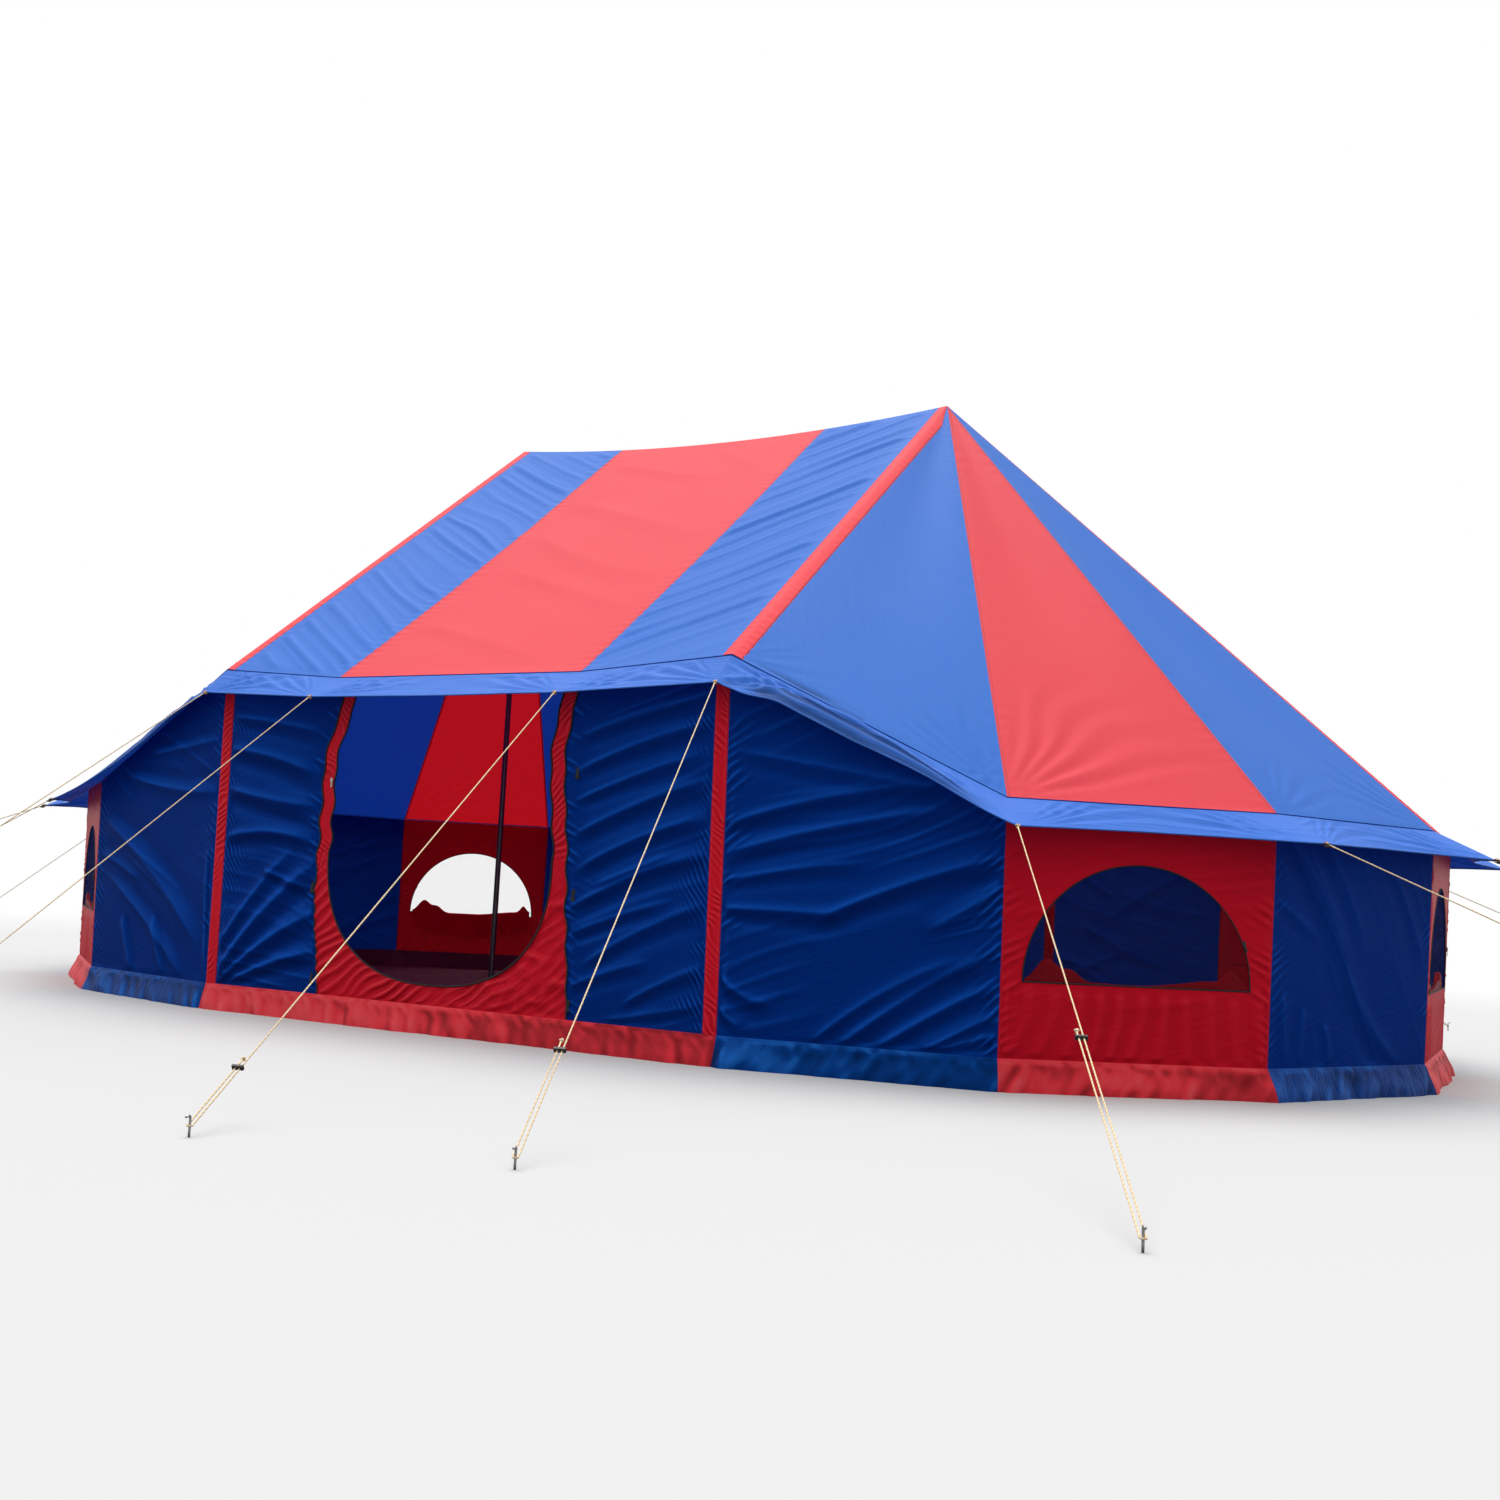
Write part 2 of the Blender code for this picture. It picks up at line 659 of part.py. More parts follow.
def make_poles():
    """Each pole is a steel tube of four sections, swaged where they join, with a conical tip."""
    foot = sheet_thickness + gap
    tip = peak_height - roof_drop - seat - pole_tip_radius
    shoulder = tip - (pole_radius - pole_tip_radius)
    length = shoulder - foot
    outer = [(0, tip), (pole_tip_radius, tip), (pole_radius, shoulder)]
    for section in range(pole_sections - 1, 0, -1):
        joint = foot + length * section / pole_sections
        outer += [(pole_radius, joint + 0.03), (pole_radius - pole_swage, joint + 0.02),
                  (pole_radius - pole_swage, joint), (pole_radius, joint - 0.002)]
    bore = pole_radius - pole_swage - pole_wall
    profile = outer + [(pole_radius, foot), (bore, foot), (bore, shoulder - pole_wall), (0, shoulder - pole_wall)]
    for name, side in (("right", 1), ("left", -1)):
        pole = turned("pole_" + name, profile, 16, "pole_steel")
        pole.location = (side * half_ridge, 0, 0)


# Guy ropes

def unit(vector):
    vector = np.asarray(vector, float)
    return vector / np.linalg.norm(vector)


def hem_points():
    """Name, hem point, outward direction and peg of every rope."""
    found = []
    for name, side, pegs in (("right", 1, right_pegs), ("left", -1, left_pegs)):
        for corner, peg in enumerate(pegs):
            point = roof_end_surface(np.array(float(corner)), np.array(2.0), side)
            outward = unit([side * max(corner_x[corner], 0), corner_y[corner], 0])
            found.append((f"{name}_{corner + 1}", point, outward, peg))
    for place, row, pegs in (("front", -2.0, front_pegs), ("back", 2.0, back_pegs)):
        for name, side in (("left", -1), ("right", 1)):
            point = roof_middle_surface(np.array(side * stripe_half), np.array(row))
            found.append((f"{place}_{name}", point, np.array([0, np.sign(row), 0]), pegs[name]))
    return found


def rope_line(point, outward, peg):
    """Knot centre, peg point, direction of the rope, sideways and outward directions."""
    knot = point - [0, 0, roof_drop / 2] + outward * (knot_radius + knot_gap)
    foot = np.array([peg[0], peg[1], rope_height_at_peg])
    away = unit([foot[0] - knot[0], foot[1] - knot[1], 0])
    aside = np.array([-away[1], away[0], 0])
    start = knot
    end = foot + aside * strand_spacing / 2 + away * (peg_radius + rope_radius * rope_bite)
    return start, end, unit(end - start), aside, away


def runner_point(point, outward, peg):
    start, end, along, aside, away = rope_line(point, outward, peg)
    return start + (end - start) * peg[2], along, aside


def make_rope(name, point, outward, peg):
    """One rope: knotted at the hem, through its runner, round the peg and back to a tail knot."""
    start, end, along, aside, away = rope_line(point, outward, peg)
    middle = runner_point(point, outward, peg)[0]
    tail = middle - aside * strand_spacing - along * tail_length
    turn = end - aside * strand_spacing
    bead, tail_bead = knot_radius / rope_radius, tail_knot_radius / rope_radius
    route = [start - outward * knot_radius, start, start + along * knot_radius * 1.2, end, turn,
             tail, tail - along * tail_knot_radius, tail - along * tail_knot_radius * 2]
    radii = [bead * 0.6, bead, 1, 1, 1, 1, tail_bead, tail_bead * 0.5]
    mesh = tube_mesh(route, radii, rope_radius)
    rope = add_object("guy_rope_" + name, mesh, ["guy_rope"], tent)
    stem = np.array([peg[0], peg[1], 0])
    up = np.array([0, 0, 1])
    hook = [stem, stem + up * peg_height * 0.8, stem + up * peg_height + away * peg_arm * 0.4,
            stem + up * peg_height * 0.9 + away * peg_arm]
    boolean(rope, add_guide("peg_" + name, tube_mesh(hook, [1] * 4, peg_radius)), "UNION")


def runner_mesh():
    """A flat bar with a hole for each strand; the standing rope runs through the origin."""
    work = bmesh.new()
    size = Matrix.Diagonal((runner_width, runner_height, runner_thickness, 1))
    shift = Matrix.Translation((-strand_spacing / 2, 0, 0))
    bmesh.ops.create_cube(work, size=1.0, matrix=shift @ size)
    mesh = bpy.data.meshes.new("rope_runner")
    work.to_mesh(mesh)
    work.free()
    return mesh


def runner_holes():
    work = bmesh.new()
    radius = (rope_radius + gap) / math.cos(math.pi / 8)
    for x in (0, -strand_spacing):
        bmesh.ops.create_cone(work, cap_ends=True, segments=8, radius1=radius, radius2=radius,
                              depth=runner_thickness * 2, matrix=Matrix.Translation((x, 0, 0)))
    mesh = bpy.data.meshes.new("runner_holes")
    work.to_mesh(mesh)
    work.free()
    return mesh


def drilled_runner():
    """The bar with both holes cut, as one mesh that all the runners share."""
    bar = add_object("runner_bar", runner_mesh(), ["black_plastic"], guides)
    holes = add_guide("runner_holes", runner_holes())
    boolean(bar, holes, "DIFFERENCE")
    bpy.context.view_layer.update()
    mesh = bpy.data.meshes.new_from_object(bar.evaluated_get(bpy.context.evaluated_depsgraph_get()))
    mesh.name = "rope_runner"
    for item in (bar, holes):
        bpy.data.objects.remove(item)
    return mesh


def make_ropes():
    runner = drilled_runner()
    for name, point, outward, peg in hem_points():
        make_rope(name, point, outward, peg)
        place, along, aside = runner_point(point, outward, peg)
        item = add_object("rope_runner_" + name, runner, ["black_plastic"], tent)
        frame = Matrix.Identity(4)
        for column, axis in enumerate((aside, np.cross(along, aside), along)):
            frame.col[column] = (*axis, 0)
        frame.col[3] = (*place, 1)
        item.matrix_world = frame


# Zip pulls

def pull_mesh(name, slot_width, tab_length, depth):
    """A zip pull: a short body with a flat tab that hangs from it."""
    work = bmesh.new()
    body = Matrix.Translation((0, 0, depth / 2)) @ Matrix.Diagonal((slot_width, slot_width * 1.3, depth, 1))
    bmesh.ops.create_cube(work, size=1.0, matrix=body)
    mesh = bpy.data.meshes.new(name)
    work.to_mesh(mesh)
    work.free()
    tab = bmesh.new()
    reach = Matrix.Translation((0, -tab_length / 2, depth * 0.7)) @ Matrix.Diagonal(
        (slot_width * 0.6, tab_length, depth * 0.3, 1))
    bmesh.ops.create_cube(tab, size=1.0, matrix=reach)
    tab_mesh = bpy.data.meshes.new(name + "_tab")
    tab.to_mesh(tab_mesh)
    tab.free()
    return mesh, tab_mesh


def make_pull(name, slot, frame, origin, slot_width=0.014, tab_length=0.035, depth=0.006):
    """Place a pull in frame, with the object's own origin at the given point of the joint's axis."""
    body, tab = pull_mesh(name, slot_width, tab_length, depth)
    shift = Matrix.Translation(-Vector(origin)) @ frame
    body.transform(shift)
    tab.transform(shift)
    pull = add_object(name, body, [slot], tent)
    guide = add_guide(name + "_tab", tab)
    pull.location = origin
    guide.location = origin
    boolean(pull, guide, "UNION")


def door_pull_frame():
    """On the left door strip, square to the leaning cloth."""
    top = stripe_eave_height - roof_drop - seat
    row = (door_pull_height - foot_height) / (top - foot_height)
    outside = half_width * (foot_share + (1 - foot_share) * row)
    lean = math.atan2(half_width * (1 - foot_share), top - foot_height)
    x = float(left_door_edge(np.array(row))) + door_strip * 0.7
    face = Matrix.Translation((x, -outside - gap, door_pull_height))
    return face @ Matrix.Rotation(math.radians(90) + lean, 4, "X")


def make_pulls():
    frame = door_pull_frame()
    make_pull("door_zip_pull", "zip_metal", frame, frame.translation)
    for name, side in (("right", 1), ("left", -1)):
        for number, panel in enumerate(window_panels(), 1):
            plane = window_frame(panel, side)
            spot = Matrix.Rotation(math.radians(window_pull_angle), 4, "Z") @ Matrix.Translation(
                (window_radius, 0, zip_radius + gap))
            make_pull(f"window_pull_{name}_{number}", "black_plastic", plane @ spot, plane.translation)


clear_scene()
tent = make_collection("tipi_tent")
guides = make_collection("guides")
materials = make_materials()
make_roof()
make_end_walls()
make_front()
make_back()
make_rolled_door()
make_groundsheet()
make_poles()
make_ropes()
make_pulls()
bpy.context.view_layer.update()
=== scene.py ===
# Two-pole group tent: striped roof, seven-panel rounded ends, half-moon windows and guy ropes.
import math

import bmesh
import bpy
import numpy as np
from mathutils import Matrix


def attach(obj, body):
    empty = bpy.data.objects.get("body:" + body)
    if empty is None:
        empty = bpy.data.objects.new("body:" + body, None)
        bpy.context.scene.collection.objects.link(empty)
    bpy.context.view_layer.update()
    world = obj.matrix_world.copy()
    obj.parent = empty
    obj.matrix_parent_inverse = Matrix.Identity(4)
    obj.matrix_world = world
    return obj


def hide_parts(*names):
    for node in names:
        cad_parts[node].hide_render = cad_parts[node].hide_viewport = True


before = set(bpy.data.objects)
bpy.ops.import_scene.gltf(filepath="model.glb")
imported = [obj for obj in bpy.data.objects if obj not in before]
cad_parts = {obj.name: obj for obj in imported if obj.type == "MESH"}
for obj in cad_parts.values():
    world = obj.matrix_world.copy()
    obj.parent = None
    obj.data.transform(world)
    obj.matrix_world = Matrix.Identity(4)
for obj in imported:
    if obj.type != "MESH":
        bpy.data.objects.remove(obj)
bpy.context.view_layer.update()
print("frame loaded:", len(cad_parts), "nodes")

# The tent's own plan, in metres, the same as the solids are built to
tent = {
    "poleSpacing": 2.906, "peak": 3.50, "halfWidth": 2.416, "endReach": 2.61, "panels": 7,
    "sideEave": 1.70, "endEave": 1.14, "stripeHalf": 0.70, "stripeSag": 0.055, "ridgeSag": 0.078,
    "dish": 0.03, "foot": 0.125, "footShare": 0.986, "skirtShare": 0.998, "clothThickness": 0.004,
    "gap": 0.0003,
}
halfRidge = tent["poleSpacing"] / 2
roofSlope = (tent["peak"] - tent["endEave"]) / tent["endReach"]
roofDrop = tent["clothThickness"] * math.hypot(1, roofSlope)
cornerAngles = np.radians(-90 + 180 / tent["panels"] * np.arange(tent["panels"] + 1))
cornerX = tent["endReach"] * np.cos(cornerAngles)
cornerY = tent["halfWidth"] * np.sin(cornerAngles)
cornerTurns = np.arange(tent["panels"] + 1)
cornerEaves = np.where(np.abs(cornerAngles) > math.radians(89), tent["sideEave"], tent["endEave"])
middlePoint = np.array([0, 0, 1.2])    # inside the tent, so that faces can be turned away from it
ends = {"right": 1, "left": -1}


# Small functions of numbers

def smooth(value):
    # 3 v v - 2 v v v, with v held between 0 and 1
    value = np.clip(value, 0, 1)
    return value * value * (3 - 2 * value)


def fade(value, low, high, width):
    # 1 between low and high, easing to 0 at both over width
    return smooth((value - low) / width) * smooth((high - value) / width)


def lattice(across, upward):
    # two grids of values, the first changing from column to column: a low, a high and a count of each
    return np.meshgrid(np.linspace(*across), np.linspace(*upward))


def softNoise(u, v, seed):
    # random heights from -1 to 1 on a lattice of whole numbers, eased between its corners
    table = np.random.default_rng(seed).uniform(-1, 1, (64, 64))
    column, row = np.floor(u).astype(int), np.floor(v).astype(int)
    s, t = smooth(u - column), smooth(v - row)
    near = table[column % 64, row % 64] * (1 - s) + table[(column + 1) % 64, row % 64] * s
    far = table[column % 64, (row + 1) % 64] * (1 - s) + table[(column + 1) % 64, (row + 1) % 64] * s
    return near * (1 - t) + far * t


def creases(u, v, seed):
    # sharp folds where two soft noises cross zero: 1 on the crease, falling to -1 away from it
    rough = softNoise(u, v, seed) + 0.5 * softNoise(2.1 * u + 3, 2.1 * v, seed + 1)
    return 1 - 2 * np.minimum(np.abs(rough) * 1.6, 1)


def longFolds(along, across, seed):
    # parallel folds one unit apart that wander, swell and die out: a cubed sine of the place across,
    # times a soft noise drawn out along them
    wander = 0.7 * softNoise(along * 0.9, across * 0.5, seed)
    wave = (0.5 + 0.5 * np.sin(2 * np.pi * (across + wander))) ** 3
    return wave * np.clip(0.2 + 1.2 * softNoise(along * 1.1 + 5, across * 0.55 + 3, seed + 1), 0, 1)


foldShape = {"fall": 1.6, "round": 0.14, "crest": 0.374, "valley": 0.45, "valleyAside": 1.7}


def foldLines(u, v, lines):
    # each line is a rounded ridge with a shallow valley beside it, along a bowed chord from (u0, v0) to
    # (u1, v1); its width changes from end to end and its height eases out at both ends
    total = np.zeros(np.broadcast(u, v).shape)
    for u0, v0, u1, v1, bow, width0, width1, height in lines:
        length = math.hypot(u1 - u0, v1 - v0)
        along = ((u - u0) * (u1 - u0) + (v - v0) * (v1 - v0)) / length ** 2
        aside = ((v - v0) * (u1 - u0) - (u - u0) * (v1 - v0)) / length
        aside = aside - bow * 4 * along * (1 - along)
        q = aside / (width0 + (width1 - width0) * np.clip(along, 0, 1))
        ridge = np.exp(-foldShape["fall"] * (np.sqrt(q * q + foldShape["round"]) - foldShape["crest"]))
        ridge = ridge - foldShape["valley"] * np.exp(-(q + foldShape["valleyAside"]) ** 2)
        total = total + height * ridge * smooth((along + 0.1) / 0.25) * smooth((1.12 - along) / 0.35)
    return total


def fanFolds(u, v, centre, first, last, count, height, reach, seed):
    # rays from a corner: a sharpened sine of the angle about it, strongest near it and gone at its reach
    du, dv = u - centre[0], v - centre[1]
    away = np.hypot(du, dv)
    share = (np.degrees(np.arctan2(dv, du)) - first) / (last - first)
    warp = 0.35 * softNoise(share * 4, away * 3 / reach, seed)
    wave = np.sin(2 * np.pi * (share * count + warp))
    wave = np.sign(wave) * np.abs(wave) ** 1.3
    near = smooth(away / (0.12 * reach))
    return height * wave * fade(share, 0, 1, 0.15) * near * smooth(1.15 - away / reach)


# Meshes

def addPiece(name, mesh, finish, slot):
    piece = bpy.data.objects.new(name, mesh)
    bpy.context.scene.collection.objects.link(piece)
    mesh.materials.append(material[finish])
    mesh.shade_smooth()
    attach(piece, "tent")
    return piece


def addCloth(name, mesh, finish):
    return addPiece(name, mesh, finish, "red_cloth" if "Red" in finish else "blue_cloth")


def meshOfGrids(name, grids, uvs, outside=middlePoint, weld=0.0002, shades=None):
    # every grid of points (rows, columns, 3) gives a quad between each four neighbours; its faces look away
    # from the point called outside, points closer than weld become one, and shades are each point's painted
    # light: painted shade above 0, painted highlight below 0
    points, corners, places, start = [], [], [], 0
    for grid, uv in zip(grids, uvs):
        rows, columns = grid.shape[:2]
        index = start + np.arange(rows * columns).reshape(rows, columns)
        quads = np.stack([index[:-1, :-1], index[:-1, 1:], index[1:, 1:], index[1:, :-1]], -1).reshape(-1, 4)
        flat = grid.reshape(-1, 3)
        if outside is not None:
            local = quads - start
            normal = np.cross(flat[local[:, 2]] - flat[local[:, 0]], flat[local[:, 3]] - flat[local[:, 1]])
            if np.sum(normal * (flat[local].mean(1) - outside)) < 0:
                quads = quads[:, ::-1]
        points.append(flat)
        places.append(np.asarray(uv).reshape(-1, 2))
        corners.append(quads)
        start += rows * columns
    points, corners, places = np.concatenate(points), np.concatenate(corners), np.concatenate(places)
    mesh = bpy.data.meshes.new(name)
    mesh.vertices.add(len(points))
    mesh.vertices.foreach_set("co", points.astype(np.float32).ravel())
    mesh.loops.add(corners.size)
    mesh.loops.foreach_set("vertex_index", corners.ravel().astype(np.int32))
    mesh.polygons.add(len(corners))
    mesh.polygons.foreach_set("loop_start", np.arange(0, corners.size, 4, dtype=np.int32))
    mesh.update(calc_edges=True)
    if shades is not None:
        values = np.concatenate([np.ravel(shade) for shade in shades])
        mesh.attributes.new("shade", "FLOAT", "POINT").data.foreach_set("value", values.astype(np.float32))
    layer = mesh.uv_layers.new(name="cloth")
    layer.data.foreach_set("uv", places[corners.ravel()].astype(np.float32).ravel())
    work = bmesh.new()
    work.from_mesh(mesh)
    bmesh.ops.remove_doubles(work, verts=work.verts[:], dist=weld)
    if outside is None:
        bmesh.ops.recalc_face_normals(work, faces=work.faces[:])
    work.to_mesh(mesh)
    work.free()
    return mesh


def meshOfStrips(name, strips, outside=middlePoint):
    # the same for pairs of a grid and its places on the cloth, welded only where they close
    grids, uvs = zip(*strips)
    return meshOfGrids(name, grids, uvs, outside, weld=0.00001)


def unit(vector):
    return vector / np.maximum(np.linalg.norm(vector, axis=-1, keepdims=True), 1e-9)


flank = {"slopeShare": 0.5, "bendShare": 0.6, "reach": 0.55, "bendReach": 60.0}


def flankShade(grid, aside=0.0, reach=flank["reach"], bendReach=flank["bendReach"]):
    # from -1, painted highlight, to 1, painted shade: half by the slope (painted paler where the cloth faces
    # up, and with aside more to one side than it does on average), half by the bend, which is the normal's
    # divergence (painted paler on a crest)
    across, upward = np.gradient(grid, axis=1), np.gradient(grid, axis=0)
    normal = unit(np.cross(across, upward))
    outward = grid - middlePoint
    outward[..., 2] = 0
    normal = normal * np.sign(np.sum(normal * outward, -1).mean())
    sideways = np.sum(normal * unit(np.cross([0.0, 0.0, 1.0], outward)), -1)
    slope = normal[..., 2] + aside * sideways
    slope = slope - slope.mean() * (aside > 0)
    bend = 0
    for axis, step in ((1, across), (0, upward)):
        stretch = np.maximum(np.sum(step * step, -1), 1e-7)
        bend = bend + np.sum(np.gradient(normal, axis=axis) * step, -1) / stretch
    slope = flank["slopeShare"] * np.clip(slope / reach, -1, 1)
    return -np.clip(slope + flank["bendShare"] * np.clip(bend / bendReach, -1, 1), -1, 1)


def tubeGrid(path, radius, sides, upward):
    # a circle of the given radius, square to the path at each of its points; closed by a point at both ends
    radius = np.concatenate([[0], np.full(len(path), radius), [0]])
    path = np.concatenate([path[:1], path, path[-1:]])
    forward = unit(np.gradient(path, axis=0))
    forward[0], forward[-1] = forward[1], forward[-2]
    sideways = unit(np.cross(forward, upward))
    over = np.cross(sideways, forward)
    turn = np.linspace(0, 2 * np.pi, sides + 1)
    ring = sideways[:, None] * np.cos(turn)[None, :, None] + over[:, None] * np.sin(turn)[None, :, None]
    grid = path[:, None] + ring * radius[:, None, None]
    along = np.concatenate([[0], np.cumsum(np.linalg.norm(np.diff(path, axis=0), axis=1))])
    uv = np.stack(np.broadcast_arrays(along[:, None], turn[None] / (2 * np.pi)), -1)
    return grid, uv


def tubes(name, paths, radius, sides, finish, slot, upward=(0.0, 0.0, 1.0)):
    made = [tubeGrid(path, radius, sides, upward) for path in paths]
    return addPiece(name, meshOfStrips(name, made, outside=None), finish, slot)


# Materials

class Wire:
    # a socket with arithmetic: an expression on wires and numbers adds its Math nodes
    def __init__(self, graph, socket):
        self.graph, self.socket = graph, socket

    def math(self, operation, first, second):
        return self.graph.node("ShaderNodeMath", {"operation": operation}, {0: first, 1: second})

    def __add__(self, other):
        return self.math("ADD", self, other)

    def __radd__(self, other):
        return self.math("ADD", other, self)

    def __sub__(self, other):
        return self.math("SUBTRACT", self, other)

    def __rsub__(self, other):
        return self.math("SUBTRACT", other, self)

    def __mul__(self, other):
        return self.math("MULTIPLY", self, other)

    def __rmul__(self, other):
        return self.math("MULTIPLY", other, self)

    def __truediv__(self, other):
        return self.math("DIVIDE", self, other)

    def __abs__(self):
        return self.graph.node("ShaderNodeMath", {"operation": "ABSOLUTE"}, {0: self})

    def sine(self):
        return self.graph.node("ShaderNodeMath", {"operation": "SINE"}, {0: self})

    def wave(self, spacing):
        # from -1 to 1 and back over every spacing
        return (self * (2 * math.pi / spacing)).sine()


class Graph:
    # the nodes of one material, or of the world
    def __init__(self, name, owner=None):
        self.material = owner or bpy.data.materials.new(name)
        self.material.use_nodes = True
        self.tree = self.material.node_tree
        self.tree.nodes.clear()

    def node(self, kind, settings=None, inputs=None, output=0):
        made = self.tree.nodes.new(kind)
        for name, value in (settings or {}).items():
            setattr(made, name, value)
        for name, value in (inputs or {}).items():
            if isinstance(value, Wire):
                self.tree.links.new(value.socket, made.inputs[name])
            else:
                made.inputs[name].default_value = value
        return Wire(self, made.outputs[output]) if made.outputs else None

    def place(self):
        return self.node("ShaderNodeTexCoord", output="Object")

    def clothPlace(self):
        return self.node("ShaderNodeTexCoord", output="UV")

    def split(self, vector):
        parts = self.node("ShaderNodeSeparateXYZ", {}, {0: vector}).socket.node
        return [Wire(self, socket) for socket in parts.outputs]

    def noise(self, vector, scale, detail=2.0, roughness=0.5):
        return self.node("ShaderNodeTexNoise", {}, {
            "Vector": vector, "Scale": scale, "Detail": detail, "Roughness": roughness}, "Fac")

    def clamp(self, value, low, high, start=0.0, end=1.0):
        return self.node("ShaderNodeMapRange", {"clamp": True}, {0: value, 1: low, 2: high, 3: start, 4: end})

    def mixColour(self, share, first, second):
        return self.node("ShaderNodeMix", {"data_type": "RGBA"}, {0: share, 6: first, 7: second}, 2)

    def bump(self, height, distance, strength, over=None):
        inputs = {"Height": height, "Distance": distance, "Strength": strength}
        return self.node("ShaderNodeBump", {}, {**inputs, "Normal": over} if over else inputs)

    def surface(self, inputs, glow=0.0, glowColour=None):
        shader = self.node("ShaderNodeBsdfPrincipled", {}, inputs)
        if glow:
            through = self.node("ShaderNodeBsdfTranslucent", {}, {"Color": glowColour})
            shader = self.node("ShaderNodeMixShader", {}, {0: glow, 1: shader, 2: through})
        self.node("ShaderNodeOutputMaterial", {}, {"Surface": shader})
        return self.material


def rgb(colour, factor=1.0):
    return (*[min(part * factor, 1.0) for part in colour], 1.0)


clothLook = {
    "thread": 0.0016, "weaveDepth": 0.00012, "crinkleSize": 45.0, "crinkleDepth": 0.0012,
    "patchSize": 1.7, "patchShare": 0.16, "grainSize": 420.0, "grainShare": 0.10, "paintedShadeShare": 0.8,
    "paintedHighlightShare": 0.9, "paintedShadeLevel": 0.24, "stitch": 0.0045, "stitchWidth": 0.0026,
}
clothColours = {
    # colour, roughness, gloss, share of light let through, colour of that light
    "roofBlue": ((0.052, 0.205, 0.745), 0.50, 0.40, 0.25, (0.003, 0.050, 0.460)),
    "roofRed": ((0.960, 0.080, 0.102), 0.50, 0.40, 0.25, (0.900, 0.010, 0.020)),
    "borderBlue": ((0.056, 0.195, 0.720), 0.48, 0.35, 0.15, (0.003, 0.050, 0.460)),
    # wallBlue and wallRed are written much darker than the roof's cloth: partly the cloth's own colour,
    # partly painted shade of walls standing under the eave
    "wallBlue": ((0.0012, 0.040, 0.305), 0.50, 0.05, 0.12, (0.006, 0.060, 0.480)),
    "wallRed": ((0.760, 0.010, 0.030), 0.42, 0.25, 0.06, (0.900, 0.020, 0.040)),
    "skirtRed": ((0.940, 0.046, 0.066), 0.46, 0.35, 0.04, (0.500, 0.010, 0.010)),
    "skirtBlue": ((0.003, 0.056, 0.300), 0.42, 0.20, 0.04, (0.004, 0.030, 0.350)),
    "tapeRed": ((0.880, 0.012, 0.032), 0.50, 0.35, 0.00, None),
    "doorRed": ((0.880, 0.012, 0.034), 0.46, 0.35, 0.08, (0.900, 0.006, 0.020)),
    "wallSeamRed": ((0.800, 0.016, 0.036), 0.50, 0.35, 0.00, None),
    "roofTapeRed": ((0.960, 0.080, 0.095), 0.55, 0.35, 0.12, (0.900, 0.010, 0.020)),
    "seamRed": ((0.900, 0.090, 0.110), 0.55, 0.35, 0.12, (0.900, 0.010, 0.020)),
}
# how far each of the two rows of stitches lies from the middle of a tape or a seam
stitchRows = {"tapeRed": 0.031, "roofTapeRed": 0.044, "seamRed": 0.0040, "wallSeamRed": 0.0036}
drawnCreases = {
    # angle to the cloth's own across, length, width and depth of the fine creases drawn into it
    "wallBlue": (20, 0.34, 0.030, 0.0020), "wallRed": (16, 0.30, 0.034, 0.0018),
    "doorRed": (38, 0.14, 0.022, 0.0026), "tapeRed": (48, 0.10, 0.014, 0.0020),
    "skirtRed": (68, 0.12, 0.030, 0.0026), "skirtBlue": (76, 0.12, 0.028, 0.0034),
    "borderBlue": (2, 0.42, 0.022, 0.0018), "roofBlue": (78, 0.50, 0.050, 0.0012),
    "roofRed": (78, 0.50, 0.050, 0.0012),
}
paintedHighlightColours = {
    # painted highlight: the paler colour painted on a cloth's fold crests and up-facing flanks
    "wallBlue": (0.012, 0.150, 0.800), "wallRed": (0.960, 0.034, 0.060), "doorRed": (1.0, 0.060, 0.085),
    "tapeRed": (1.0, 0.060, 0.080), "skirtRed": (1.0, 0.120, 0.140), "skirtBlue": (0.020, 0.190, 0.720),
}


